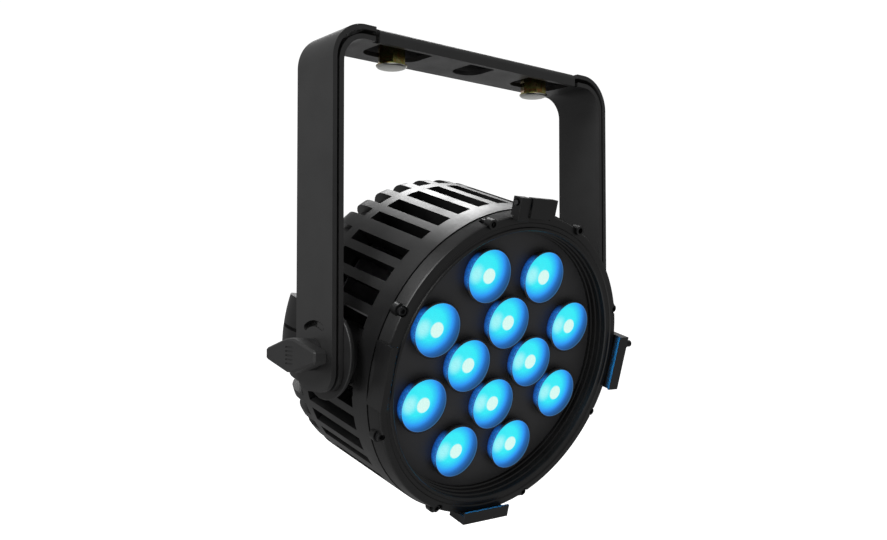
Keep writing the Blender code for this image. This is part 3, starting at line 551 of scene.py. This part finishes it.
def make_inner_bracket():
    top = -SHEET - CROSSBAR_GAP
    outline = bent_strip(INNER_HALF_WIDTH_SHEET, top, ARM_BOTTOM, BEND_RADIUS - SHEET - ARM_GAP)
    piece = add_object("inner_bracket_sheet", prism(outline, "Y", -HALF_DEPTH, HALF_DEPTH), powder_coat)
    reach = INNER_HALF_WIDTH + 0.02
    boolean(piece, "INTERSECT", prism(rounded_tail(), "X", -reach, reach))
    low, high = top - SHEET - 0.001, top + 0.001
    setback = -HALF_DEPTH + SHEET + 0.0006
    half = FLANGE_LENGTH / 2 + 0.0036
    boolean(piece, "DIFFERENCE", box((-half, -HALF_DEPTH - 0.001, low - 0.02), (half, setback, high)))
    boolean(piece, "DIFFERENCE", notch(0, 0.023, low, high))
    for sign in (-1, 1):
        boolean(piece, "DIFFERENCE", notch(sign * BOLT_SPACING / 2, 0.0435, low, high))
        span = sorted((sign * (INNER_HALF_WIDTH_SHEET - SHEET / 2), sign * (OUTER_HALF_WIDTH - 0.0002)))
        boolean(piece, "UNION", prism(band(0.0192, 0.0032, -34.5, -12.5, 10), "X", *span))
    boolean(piece, "DIFFERENCE", rod("X", (0, PIVOT.z), STUD_RADIUS + FINE, -reach, reach))
    soften(piece, 0.00045)
    finish_piece(piece, "support_bracket", "powder_coat", "inner_bracket")


INNER_HALF_WIDTH_SHEET = OUTER_HALF_WIDTH - SHEET - ARM_GAP


def make_bolts():
    head_top = -SHEET - FINE
    disc_top = head_top - 0.0125
    disc_bottom = disc_top - 0.0020
    hex_radius = 0.017 / math.sqrt(3)
    nut_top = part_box("bracket_nut_left")[1].z
    for side, sign in (("left", -1), ("right", 1)):
        place = (sign * BOLT_SPACING / 2, 0)
        outline = [(x, y) for x, y in circle(place, hex_radius, 6)]
        bolt = add_object(f"bolt_{side}", prism(outline, "Z", disc_top - 0.0002, head_top), zinc_plate)
        middle = Matrix.Translation((place[0], 0, 0))
        profile = [
            (0, disc_bottom),
            (0.0086, disc_bottom),
            (0.0097, disc_bottom + 0.0004),
            (0.0104, disc_bottom + 0.0012),
            (0.0105, disc_top - 0.0002),
            (0.0098, disc_top + 0.0001),
            (0, disc_top + 0.0001),
        ]
        washer = turned(profile, 56, "Z")
        bmesh.ops.transform(washer, matrix=middle, verts=washer.verts)
        boolean(bolt, "UNION", washer)
        boolean(bolt, "UNION", rod("Z", place, STUD_RADIUS, head_top - 0.001, nut_top))
        soften(bolt, 0.0005, 3)
        bolt.data.materials.append(pale_zinc)
        for polygon in bolt.data.polygons:
            polygon.material_index = 1 if polygon.center.z < disc_top - 0.0009 else 0
        finish_piece(bolt, "yoke", "zinc_plate", "bracket_bolt_" + side)
        nut = add_object(f"nut_{side}", prism(outline, "Z", FINE - 0.0002, nut_top), zinc_plate)
        boolean(nut, "DIFFERENCE", rod("Z", place, STUD_RADIUS + FINE, -0.001, 0.007))
        soften(nut, 0.0004)
        finish_piece(nut, "yoke", "zinc_plate", "bracket_nut_" + side)


# ---- Head ----
def head_piece(name, built, look, angle=32):
    return add_object(name, built, look, HEAD, angle)


RIB_PITCHES = 40
RIB_HALF = math.radians(1.7)
WIDE_RIB_HALF = math.radians(2.9)
GAP_STEPS = 3


def drum_columns():
    """The drum's columns as (start angle, is rib, is at a side), with the gaps split so that they stay round."""
    pitch = 2 * math.pi / RIB_PITCHES
    half = [WIDE_RIB_HALF if k % 10 == 5 else RIB_HALF for k in range(RIB_PITCHES)]
    columns = []
    for k in range(RIB_PITCHES):
        near = min(abs(k - 10), abs(k - 30))
        side = near <= 1
        columns.append((k * pitch - half[k], True, side))
        columns.append((k * pitch, True, side))
        start = k * pitch + half[k]
        end = (k + 1) * pitch - half[(k + 1) % RIB_PITCHES]
        side_gap = k in (9, 10, 29, 30)
        for step in range(GAP_STEPS):
            columns.append((start + (end - start) * step / GAP_STEPS, False, side_gap))
    return columns


def shoulder(y):
    """How far the outer surface stands over the front edge's radius, along the body."""
    rear_start = BODY_REAR - 0.0176
    if y <= rear_start:
        return 0.0026 * (y - PARTING_LINE) / (rear_start - PARTING_LINE)
    t = (y - rear_start) / (BODY_REAR - rear_start)
    return 0.0026 - 0.0136 * (1 - math.sqrt(max(0.0, 1 - t ** 2.2)))


def drum_stations():
    """(y, inside, floor, outside, lobe) along the body."""
    ys = [PARTING_LINE, 0.0088, 0.012, VENT_FRONT, 0.046, VENT_REAR, VENT_REAR + 0.0025, VENT_REAR + 0.008]
    rear_start = BODY_REAR - 0.0176
    ys += [rear_start - 0.004] + [rear_start + 0.0176 * t for t in (0, 0.2, 0.4, 0.58, 0.73, 0.85, 0.94, 1.0)]
    rows = []
    for y in ys:
        outside = BODY_RADIUS + shoulder(y)
        inside = INSIDE_RADIUS - max(0.0, (y - rear_start) / 0.0176) * 0.008
        floor = outside - 0.0062
        swell = min(1.0, max(0.0, (y - VENT_REAR) / 0.012)) * 0.0039
        rows.append((y, inside, floor, outside, outside + swell))
    return rows


def make_housing():
    columns = drum_columns()
    stations = drum_stations()
    count = len(columns)
    names = [row[0] for row in stations]
    vent_start = names.index(VENT_FRONT)
    vent_end = names.index(VENT_REAR)
    ring_end = names.index(VENT_REAR + 0.008)

    def filled(column, row, layer):
        _, rib, side = columns[column % count]
        if not (0 <= row < len(stations) - 1 and 0 <= layer < 2):
            return False
        if row < vent_start or vent_end <= row < ring_end:
            return True
        if row < vent_end:
            return rib or side
        if layer == 0:
            return True
        return rib or side

    built = bmesh.new()
    corners = {}

    def corner(column, row, level):
        key = (column % count, row, level)
        if key not in corners:
            y, *radii, lobe = stations[row]
            near_side = columns[key[0]][2] or columns[key[0] - 1][2]
            radius = lobe if level == 2 and near_side else radii[level]
            x, z = on_ring(radius, columns[key[0]][0])
            corners[key] = built.verts.new((x, y, z))
        return corners[key]

    around = {
        (1, 0, 0): ((1, 0, 0), (1, 1, 0), (1, 1, 1), (1, 0, 1)),
        (-1, 0, 0): ((0, 0, 0), (0, 0, 1), (0, 1, 1), (0, 1, 0)),
        (0, 1, 0): ((0, 1, 0), (0, 1, 1), (1, 1, 1), (1, 1, 0)),
        (0, -1, 0): ((0, 0, 0), (1, 0, 0), (1, 0, 1), (0, 0, 1)),
        (0, 0, 1): ((0, 0, 1), (1, 0, 1), (1, 1, 1), (0, 1, 1)),
        (0, 0, -1): ((0, 0, 0), (0, 1, 0), (1, 1, 0), (1, 0, 0)),
    }
    for column in range(count):
        for row in range(len(stations) - 1):
            for layer in range(2):
                if not filled(column, row, layer):
                    continue
                for (dc, dr, dl), steps in around.items():
                    if not filled(column + dc, row + dr, layer + dl):
                        built.faces.new([corner(column + c, row + r, layer + l) for c, r, l in steps])
    housing = head_piece("ribbed_housing", built, cast_black)
    pivot = (PIVOT_SETBACK, 0)
    face = BODY_RADIUS + 0.0008 - 0.007
    for sign in (-1, 1):
        x = sorted((sign * face, sign * 0.125))
        boolean(housing, "DIFFERENCE", box((x[0], VENT_FRONT - 0.0009, -0.0222), (x[1], VENT_REAR, 0.0222)))
        x = sorted((sign * (face - 0.001), sign * (LOBE_RADIUS + 0.0007)))
        boolean(housing, "UNION", rod("X", pivot, 0.020, *x))
        lobe_split = box((sign * 0.116 - 0.006, VENT_REAR + 0.006, -0.0012), (sign * 0.116 + 0.006, BODY_REAR - 0.006, 0.0012))
        boolean(housing, "DIFFERENCE", lobe_split)
    soften(housing, 0.0005, 2, 30)
    finish_piece(housing, "head", "cast_black", "housing")


def make_bezel():
    back = PARTING_LINE - FINE
    profile = [
        (BORE_RADIUS, BEZEL_FRONT + 0.0005),
        (BORE_RADIUS + 0.0006, BEZEL_FRONT - 0.0002),
        (BORE_RADIUS + 0.0022, BEZEL_FRONT - 0.0003),
        (BORE_RADIUS + 0.0028, BEZEL_FRONT + 0.0006),
        (BORE_RADIUS + 0.0052, BEZEL_FRONT + 0.0006),
        (BORE_RADIUS + 0.0058, BEZEL_FRONT - 0.0001),
        (BEZEL_RADIUS - 0.0016, BEZEL_FRONT),
        (BEZEL_RADIUS - 0.0005, BEZEL_FRONT + 0.0004),
        (BEZEL_RADIUS, BEZEL_FRONT + 0.0015),
        (BODY_RADIUS - 0.0005, back - 0.0006),
        (BODY_RADIUS - 0.0010, back),
        (INSIDE_RADIUS - FINE, back),
        (INSIDE_RADIUS - FINE, PLATE_FRONT - FINE),
        (BORE_RADIUS - 0.0030, PLATE_FRONT - FINE),
        (BORE_RADIUS - 0.0030, PLATE_FRONT - 0.0022),
        (BORE_RADIUS - 0.0020, PLATE_FRONT - 0.0026),
        (BORE_RADIUS - 0.0020, BEZEL_FRONT + 0.0082),
        (BORE_RADIUS - 0.0010, BEZEL_FRONT + 0.0078),
        (BORE_RADIUS - 0.0010, BEZEL_FRONT + 0.0044),
        (BORE_RADIUS, BEZEL_FRONT + 0.0040),
    ]
    bezel = head_piece("bezel_ring", turned(profile, 180, ring=True), cast_black)
    floor_radius = BEZEL_RADIUS - 0.0030
    pockets = [(sign * angle, 5.4) for sign in (-1, 1) for angle in (73.4, 106.6)]
    pockets += [(-17.8, 4.4), (13.2, 7.2), (164.0, 5.2), (196.0, 5.2)]
    for angle, half_angle in pockets:
        centre = math.radians(angle)
        half = math.radians(half_angle)
        pocket = [(floor_radius, -0.010), (0.112, -0.010), (0.112, POCKET_BACK), (floor_radius, POCKET_BACK)]
        boolean(bezel, "DIFFERENCE", turned(pocket, 12, start=centre - half, sweep=2 * half))
    seat = BEZEL_FRONT + 0.0039
    for k in range(EARS):
        place = on_ring(EAR_RING, (2 * k + 1) * math.pi / EARS)
        boolean(bezel, "UNION", rod("Y", place, 0.0042, seat, seat + 0.0045, 28))
        boolean(bezel, "DIFFERENCE", rod("Y", place, 0.0034, BEZEL_FRONT - 0.002, seat, 28))
        boolean(bezel, "DIFFERENCE", rod("Y", place, 0.0020, BEZEL_FRONT - 0.002, back + 0.001, 16))
    soften(bezel, 0.00035, 2, 30)
    finish_piece(bezel, "head", "cast_black", "bezel")
    make_screws(seat)


def make_screws(seat):
    for k in range(EARS):
        place = on_ring(EAR_RING, (2 * k + 1) * math.pi / EARS)
        back = seat - FINE
        front = back - 0.0026
        profile = [
            (0, front + 0.0016),
            (0.0014, front + 0.0016),
            (0.0015, front + 0.0001),
            (0.0023, front),
            (0.0029, front + 0.0005),
            (0.0030, front + 0.0010),
            (0.0030, back),
            (0.0017, back),
            (0.0017, 0.0095),
            (0, 0.0095),
        ]
        screw = head_piece(f"screw_{k + 1}", turned(profile, 24), black_steel)
        screw.matrix_world = HEAD @ Matrix.Translation((place[0], 0, place[1]))
        finish_piece(screw, "head", "steel", f"bezel_screw_{k + 1}")


def lens_places():
    inner = [on_ring(INNER_RING, 2 * math.pi * k / 4) for k in range(4)]
    return inner + [on_ring(OUTER_RING, (2 * k + 1) * math.pi / 8) for k in range(8)]


def make_lens_plate():
    plate = head_piece("lens_panel", rod("Y", (0, 0), 0.0955, PLATE_FRONT, PLATE_FRONT + 0.0025, 160), plate_grey)
    for x, z in lens_places():
        boolean(plate, "DIFFERENCE", rod("Y", (x, z), LENS_RADIUS - 0.0018, PLATE_FRONT - 0.001, PLATE_FRONT + 0.0012, 48))
    soften(plate, 0.0003, 2)
    finish_piece(plate, "head", "plate_grey", "lens_plate")


def make_lenses():
    """Each lens is a shallow dish with a dimple over its source, in a rim that stands off the plate."""
    rim = LENS_RADIUS
    face = [(0, 0.0009), (0.0040, 0.0009), (0.0052, 0.0012), (0.0058, 0.0015), (0.0064, 0.0011)]
    bowl_steps = 10
    for k in range(1, bowl_steps + 1):
        t = k / bowl_steps
        face.append((0.0064 + (rim - 0.0018 - 0.0064) * t, 0.0010 - 0.0006 * t**2))
    face += [(rim - 0.0013, 0.0001), (rim - 0.0006, 0.0)]
    waist = rim - 0.0021
    side = [(rim - 0.0001, 0.0004), (rim, 0.0009), (rim - 0.0002, 0.0014)]
    side += [(waist, PLATE_FRONT + 0.0009), (0.006, PLATE_FRONT + 0.0011), (0, PLATE_FRONT + 0.0011)]
    for number, (x, z) in enumerate(lens_places(), 1):
        lens = head_piece(f"optic_{number:02d}", turned(face + side, 64), lens_face, 45)
        lens.data.materials.append(lens_side)
        for polygon in lens.data.polygons:
            centre = polygon.center
            reach = math.hypot(centre.x, centre.z)
            outside = reach > rim - 0.0010 or centre.y > 0.0020
            polygon.material_index = 1 if outside else 0
        lens.matrix_world = HEAD @ Matrix.Translation((x, 0, z))
        finish_piece(lens, "head", "lens_blue", f"lens_{number:02d}")


def add_foot(clip, foot):
    """Runs a clip back along the bezel's side, clear of it."""
    boolean(clip, "UNION", foot)
    side = [(0, BEZEL_FRONT - 0.0001), (BEZEL_RADIUS + FINE, BEZEL_FRONT - 0.0001), (BODY_RADIUS + FINE, 0.003), (0, 0.003)]
    boolean(clip, "DIFFERENCE", turned(side, 180))


def make_clips():
    """The accessory channels: a block flush with the bezel's side, with a lip over the slot."""
    seat = BEZEL_FRONT - FINE
    inner = BEZEL_RADIUS - 0.0032
    wall = inner + 0.0018
    outer = {"left": BEZEL_RADIUS + 0.0015, "right": BEZEL_RADIUS + 0.0065, "bottom": BEZEL_RADIUS + 0.0035}
    for side, sign in (("left", -1), ("right", 1)):
        outline = [
            (sign * inner, CLIP_FRONT),
            (sign * outer[side], CLIP_FRONT),
            (sign * outer[side], seat),
            (sign * wall, seat),
            (sign * wall, CLIP_SLOT_BACK),
            (sign * inner, CLIP_SLOT_BACK),
        ]
        clip = head_piece("channel_" + side, prism(outline, "Z", -CLIP_HALF_LENGTH, CLIP_HALF_LENGTH), cast_black)
        x = sorted((sign * wall, sign * outer[side]))
        foot = box((x[0], seat - 0.0005, -CLIP_HALF_LENGTH), (x[1], 0.0010, CLIP_HALF_LENGTH))
        add_foot(clip, foot)
        soften(clip, 0.0005, 3)
        finish_piece(clip, "head", "cast_black", "frame_clip_" + side)
    low = -inner + 0.0018
    outline = [
        (CLIP_FRONT, low),
        (CLIP_FRONT, -outer["bottom"]),
        (seat, -outer["bottom"]),
        (seat, low - 0.0030),
        (CLIP_SLOT_BACK, low - 0.0030),
        (CLIP_SLOT_BACK, low),
    ]
    clip = head_piece("channel_bottom", prism(outline, "X", -CLIP_HALF_LENGTH, CLIP_HALF_LENGTH), cast_black)
    foot = box((-CLIP_HALF_LENGTH, seat - 0.0005, -outer["bottom"]), (CLIP_HALF_LENGTH, 0.0010, low - 0.0030))
    add_foot(clip, foot)
    soften(clip, 0.0005, 3)
    finish_piece(clip, "head", "cast_black", "frame_clip_bottom")


LATCH_AXIS = (BEZEL_FRONT - 0.0014, BEZEL_RADIUS + 0.0072)
LATCH_SPAN = (-0.014, 0.008)
LATCH_LEFT = -0.0235
LATCH_TOP = LATCH_AXIS[1] + 0.0040
LATCH_REAR = LATCH_AXIS[0] + 0.0038


def make_latch():
    front = CLIP_FRONT + 0.0012
    block = box((LATCH_LEFT, front, BEZEL_RADIUS - 0.004), (LATCH_SPAN[0] - FINE, LATCH_REAR, LATCH_TOP - 0.0004))
    base = head_piece("latch_block", block, cast_black)
    boolean(base, "DIFFERENCE", rod("Y", (0, 0), BEZEL_RADIUS + 0.001, BEZEL_FRONT - 0.0005, 0.01, 180))
    boolean(base, "DIFFERENCE", rod("X", LATCH_AXIS, 0.0024, LATCH_LEFT - 0.001, LATCH_LEFT + 0.0007, 32))
    boolean(base, "DIFFERENCE", rod("X", LATCH_AXIS, 0.0019, LATCH_LEFT - 0.001, 0.001, 32))
    soften(base, 0.0007, 3)
    finish_piece(base, "head", "cast_black", "latch_base")
    flap = head_piece("latch_lid", rod("X", LATCH_AXIS, 0.0034, *LATCH_SPAN), cast_black)
    lip_low = BEZEL_RADIUS - 0.0032 + 0.0014
    outline = [
        (LATCH_AXIS[0], LATCH_TOP),
        (CLIP_FRONT, LATCH_TOP),
        (CLIP_FRONT, lip_low),
        (CLIP_SLOT_BACK, lip_low),
        (CLIP_SLOT_BACK, LATCH_TOP - 0.0032),
        (LATCH_AXIS[0], LATCH_TOP - 0.0032),
    ]
    boolean(flap, "UNION", prism(outline, "X", *LATCH_SPAN))
    boolean(flap, "DIFFERENCE", rod("X", LATCH_AXIS, 0.0019, -0.02, 0.02, 32))
    soften(flap, 0.0008, 3)
    finish_piece(flap, "latch", "cast_black", "latch_flap")


def make_friction_discs():
    """A ribbed washer between the head and each inner arm."""
    for side, sign in (("left", -1), ("right", 1)):
        low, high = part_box("friction_disc_" + side)
        inner, outer = sorted((abs(low.x), abs(high.x)))
        profile = [
            (STUD_RADIUS + FINE, inner),
            (0.0275, inner),
            (0.0275, inner + 0.0009),
            (0.0262, inner + 0.0012),
            (0.0262, inner + 0.0018),
            (0.0289, inner + 0.0021),
            (0.0289, outer - 0.0004),
            (0.0285, outer),
            (STUD_RADIUS + FINE, outer),
        ]
        disc = add_object("washer_" + side, turned([(r, sign * x) for r, x in profile], 96, "X", ring=True), black_plastic)
        disc.matrix_world = Matrix.Translation(PIVOT)
        finish_piece(disc, "head", "black_plastic", "friction_disc_" + side)


# ---- Knobs ----
def make_knobs():
    end, tip, flat, wide = 0.029, 0.0035, 0.004, 0.0104
    near, joint, far = FINE, 0.0078, 0.0173
    for side, sign in (("left", -1), ("right", 1)):
        place = Matrix.Translation((sign * OUTER_HALF_WIDTH, 0, PIVOT.z))
        outline = [(end, tip), (flat, wide), (-flat, wide), (-end, tip)]
        outline += [(-y, -z) for y, z in outline]
        knob = add_object("t_handle_" + side, prism(outline, "X", *sorted((sign * joint, sign * far))), black_plastic, place)
        chamfer = knob.modifiers.new("chamfer", "BEVEL")
        chamfer.width = 0.0012
        chamfer.segments = 1
        chamfer.angle_limit = math.radians(20)
        bake(knob)
        boolean(knob, "UNION", rod("X", (0, 0), 0.010, *sorted((sign * near, sign * (joint + 0.0005)))))
        for z in (-0.0050, -0.0025, 0.0, 0.0025, 0.0050):
            x = sorted((sign * (far - 0.0005), sign * (far + 0.001)))
            boolean(knob, "DIFFERENCE", box((x[0], -0.0042, z - 0.0005), (x[1], 0.0042, z + 0.0005)))
        soften(knob, 0.0003, 2, 25)
        finish_piece(knob, "knob_" + side, "black_plastic", "knob_" + side)


# ---- Rear ----
COVER_RADIUS = INSIDE_RADIUS - 0.0096
COVER_BACK = BODY_REAR - 0.001
PANEL_BACK = COVER_BACK + 0.0033
BUTTON_Z = 0.0145
BUTTON_X = {"menu": -0.0225, "down": -0.0075, "up": 0.0075, "enter": 0.0225}
CONNECTORS = {
    "power_inlet": (-0.046, -0.026, 0.0135, 3),
    "power_outlet": (0.046, -0.026, 0.0135, 3),
    "data_in": (-0.016, -0.038, 0.0115, 5),
    "data_out": (0.016, -0.038, 0.0115, 5),
}


def swept(points, radius, sides=16):
    """A round rod along a path in the head's X and Y, with flat ends."""
    built = bmesh.new()
    rows = []
    for k, point in enumerate(points):
        before, after = points[max(k - 1, 0)], points[min(k + 1, len(points) - 1)]
        along = (after - before).normalized()
        across = along.cross(Vector((0, 0, 1)))
        angles = [2 * math.pi * j / sides for j in range(sides)]
        ring = [point + radius * (math.cos(a) * across + math.sin(a) * Vector((0, 0, 1))) for a in angles]
        rows.append([built.verts.new(place) for place in ring])
    for first, second in zip(rows, rows[1:]):
        for j in range(sides):
            after = (j + 1) % sides
            built.faces.new([first[j], first[after], second[after], second[j]])
    built.faces.new(rows[0])
    built.faces.new(rows[-1])
    return built


def make_cover():
    front = COVER_BACK - 0.005
    profile = [
        (0, front),
        (COVER_RADIUS, front),
        (COVER_RADIUS, COVER_BACK - 0.0015),
        (COVER_RADIUS - 0.0015, COVER_BACK),
        (COVER_RADIUS - 0.0045, COVER_BACK),
        (COVER_RADIUS - 0.0050, COVER_BACK - 0.0010),
        (COVER_RADIUS - 0.0062, COVER_BACK - 0.0010),
        (COVER_RADIUS - 0.0067, COVER_BACK),
        (0, COVER_BACK),
    ]
    cover = head_piece("back_plate", turned(profile, 160), cast_black)
    for k in range(8):
        place = on_ring(COVER_RADIUS - 0.011, (2 * k + 1) * math.pi / 8)
        boolean(cover, "DIFFERENCE", rod("Y", place, 0.0034, COVER_BACK - 0.0016, COVER_BACK + 0.001, 32))
        boolean(cover, "UNION", rod("Y", place, 0.0029, COVER_BACK - 0.0020, COVER_BACK - 0.0003, 32))
        boolean(cover, "DIFFERENCE", rod("Y", place, 0.0015, COVER_BACK - 0.0012, COVER_BACK + 0.001, 6))
    soften(cover, 0.0003, 2, 30)
    finish_piece(cover, "head", "cast_black", "rear_cover")


def make_panel():
    outline = rounded_rectangle((-0.043, 0.004), (0.043, 0.052), 0.005)
    panel = head_piece("menu_panel", prism(outline, "Y", COVER_BACK + FINE, PANEL_BACK), black_plastic)
    recess = rounded_rectangle((-0.020, 0.027), (0.020, 0.046), 0.002)
    boolean(panel, "DIFFERENCE", prism(recess, "Y", PANEL_BACK - 0.0015, PANEL_BACK + 0.001))
    groove = prism(rounded_rectangle((-0.0405, 0.0065), (0.0405, 0.0495), 0.0035), "Y", PANEL_BACK - 0.0004, 0.114)
    inside = prism(rounded_rectangle((-0.0399, 0.0071), (0.0399, 0.0489), 0.0032), "Y", PANEL_BACK - 0.001, 0.115)
    ring = head_piece("panel_groove", groove, None)
    boolean(ring, "DIFFERENCE", inside)
    cutter = bmesh.new()
    cutter.from_mesh(ring.data)
    bpy.data.objects.remove(ring)
    boolean(panel, "DIFFERENCE", cutter)
    for label, x in BUTTON_X.items():
        boolean(panel, "DIFFERENCE", rod("Y", (x, BUTTON_Z), 0.0043, PANEL_BACK - 0.0031, PANEL_BACK + 0.001, 40))
    soften(panel, 0.0003, 2, 30)
    finish_piece(panel, "head", "black_plastic", "control_panel")
    pane = prism(rounded_rectangle((-0.0197, 0.0273), (0.0197, 0.0457), 0.0018), "Y", PANEL_BACK - 0.0012, PANEL_BACK - 0.0002)
    window = head_piece("menu_window", pane, dark_window)
    soften(window, 0.0002, 2)
    finish_piece(window, "head", "window_dark", "display_window")
    low = PANEL_BACK - 0.002
    top = PANEL_BACK + 0.0014
    for label, x in BUTTON_X.items():
        profile = [(0, low), (0.0040, low), (0.0040, top - 0.0007), (0.0037, top - 0.0003), (0.0030, top)]
        profile += [(0.0022, top), (0.0014, top - 0.0003), (0, top - 0.0004)]
        cap = head_piece("cap_" + label, turned(profile, 40), rubber)
        cap.matrix_world = HEAD @ Matrix.Translation((x, 0, BUTTON_Z))
        finish_piece(cap, "button_" + label, "rubber", "button_" + label)


def make_connectors():
    """Round sockets with a keyed collar, a bore and contact pins."""
    seat = COVER_BACK + FINE
    rear = seat + 0.010
    for name, (x, z, radius, pins) in CONNECTORS.items():
        profile = [
            (0, seat),
            (radius + 0.0025, seat),
            (radius + 0.0025, seat + 0.0024),
            (radius + 0.0019, seat + 0.0030),
            (radius, seat + 0.0033),
            (radius, rear - 0.0030),
            (radius - 0.0005, rear - 0.0026),
            (radius - 0.0005, rear - 0.0018),
            (radius, rear - 0.0014),
            (radius - 0.0004, rear),
            (radius - 0.0022, rear),
            (radius - 0.0025, rear - 0.0004),
            (radius - 0.0025, seat + 0.0030),
            (0, seat + 0.0030),
        ]
        socket = head_piece("socket_" + name, turned(profile, 56), black_plastic)
        for sign in (-1, 1):
            slot = box((sign * (radius - 0.0012) - 0.0022, rear - 0.0036, -0.0012), (sign * (radius - 0.0012) + 0.0022, rear + 0.001, 0.0012))
            boolean(socket, "DIFFERENCE", slot)
        soften(socket, 0.0002, 2, 30)
        for k in range(pins):
            spot = on_ring(0.45 * radius, 2 * math.pi * k / pins)
            boolean(socket, "UNION", rod("Y", spot, 0.0010, seat + 0.0028, rear - 0.0025, 16))
        socket.matrix_world = HEAD @ Matrix.Translation((x, 0, z))
        finish_piece(socket, "head", "black_plastic", name)


def make_safety_eye():
    foot = COVER_BACK + FINE
    wire = 0.0024
    reach = 0.011
    points = [Vector((reach, foot, 0)), Vector((reach, foot + 0.004, 0))]
    points += [Vector((x, y, 0)) for x, y in arc((0, foot + 0.008), reach, 0, 180, 32)]
    points += [Vector((-reach, foot + 0.004, 0)), Vector((-reach, foot, 0))]
    eye = head_piece("cable_eye", swept(points, wire), steel)
    eye.matrix_world = HEAD @ Matrix.Translation((0, 0, 0.066))
    finish_piece(eye, "head", "steel", "safety_eye")


make_outer_bracket()
make_inner_bracket()
make_bolts()
make_cover()
make_panel()
make_connectors()
make_safety_eye()
make_housing()
make_bezel()
make_lens_plate()
make_lenses()
make_clips()
make_latch()
make_friction_discs()
make_knobs()

# ---- CAD nodes that keep their shape ----
kept = {
    "heat_sink": aluminium,
    "chassis_plate": aluminium,
    "power_supply": aluminium,
    "led_board": circuit_board,
    "driver_board": circuit_board,
    "latch_pin": steel,
    "frame_lock_pin": black_steel,
}
kept.update({"knob_stud_" + side: steel for side in ("left", "right")})
for name, look in kept.items():
    frame["nodes"][name].data.materials.clear()
    frame["nodes"][name].data.materials.append(look)


# ---- Camera, floor and light ----
CAMERA_PLACE = Vector((-0.41765, -0.47759, -0.1712))
CAMERA_HEADING = math.radians(-39.65)
CAMERA_RISE = math.radians(1.80)
camera = bpy.data.objects.new("camera", bpy.data.cameras.new("camera"))
camera.data.lens = 36.22
camera.data.sensor_width = 36.0
camera.data.clip_start = 0.01
camera.location = CAMERA_PLACE
camera.rotation_euler = (math.pi / 2 + CAMERA_RISE, 0, CAMERA_HEADING)
bpy.context.scene.collection.objects.link(camera)
bpy.context.scene.camera = camera

FLOOR_DROP = 0.30
floor_z = cad_box[0].z - FLOOR_DROP
floor = add_object("floor", box((-30, -30, floor_z - 0.01), (30, 30, floor_z)), None)
floor_look, floor_shader = new_material("floor_white", (0.92, 0.92, 0.92), 0.85)
floor_shader.inputs["Emission Color"].default_value = (1, 1, 1, 1)
floor_shader.inputs["Emission Strength"].default_value = 0.7
floor.data.materials.append(floor_look)
floor.visible_glossy = False
floor.visible_diffuse = False

world = bpy.data.worlds.new("studio")
bpy.context.scene.world = world
world.use_nodes = True
background = world.node_tree.nodes["Background"]
background.inputs["Color"].default_value = (1, 1, 1, 1)
path = world.node_tree.nodes.new("ShaderNodeLightPath")
strength = world.node_tree.nodes.new("ShaderNodeMapRange")
strength.inputs["To Min"].default_value = 0.26  # what lights the lamp
strength.inputs["To Max"].default_value = 1.05  # the white backdrop
world.node_tree.links.new(path.outputs["Is Camera Ray"], strength.inputs["Value"])
world.node_tree.links.new(strength.outputs["Result"], background.inputs["Strength"])
bpy.context.scene.view_settings.view_transform = "Standard"


def softbox(name, place, target, size, power):
    light = bpy.data.lights.new(name, "AREA")
    light.shape = "RECTANGLE"
    light.size, light.size_y = size
    light.energy = power
    made = bpy.data.objects.new(name, light)
    made.location = place
    made.rotation_euler = (Vector(target) - Vector(place)).to_track_quat("-Z", "Y").to_euler()
    made.visible_camera = False
    bpy.context.scene.collection.objects.link(made)


middle = (cad_box[0] + cad_box[1]) / 2
softbox("key", (-1.15, -0.25, 0.75), middle, (0.6, 1.0), 14.0)
softbox("rim", (0.6, 0.7, 0.8), middle, (0.5, 0.6), 4.0)
softbox("backdrop_bounce", (1.7, 2.0, 0.2), middle, (3.0, 1.8), 7.0)
softbox("side_wall", (-1.6, -1.6, -0.5), middle, (1.2, 1.2), 2.5)
softbox("floor_bounce", (-0.5, -0.5, -1.2), middle, (1.4, 1.4), 3.0)
sun = bpy.data.lights.new("overhead", "SUN")
sun.energy = 1.0
sun.angle = math.radians(25)
overhead = bpy.data.objects.new("overhead", sun)
overhead.rotation_euler = Vector((-0.45, -0.80, -1)).to_track_quat("-Z", "Y").to_euler()
bpy.context.scene.collection.objects.link(overhead)

glow = bpy.data.lights.new("lens_glow", "AREA")
glow.shape = "DISK"
glow.size = 0.16
glow.energy = 1.6
glow.color = (0.02, 0.38, 1.0)
glow_lamp = bpy.data.objects.new("lens_glow", glow)
glow_lamp.matrix_world = HEAD @ Matrix.Translation((0, -0.0008, 0)) @ Matrix.Rotation(-math.pi / 2, 4, "X")
glow_lamp.visible_camera = False
lit_by_glow = bpy.data.collections.new("lit_by_the_lenses")
for name in ("channel_left", "channel_right", "channel_bottom"):
    lit_by_glow.objects.link(bpy.data.objects[name])
glow_lamp.light_linking.receiver_collection = lit_by_glow
bpy.context.scene.collection.objects.link(glow_lamp)
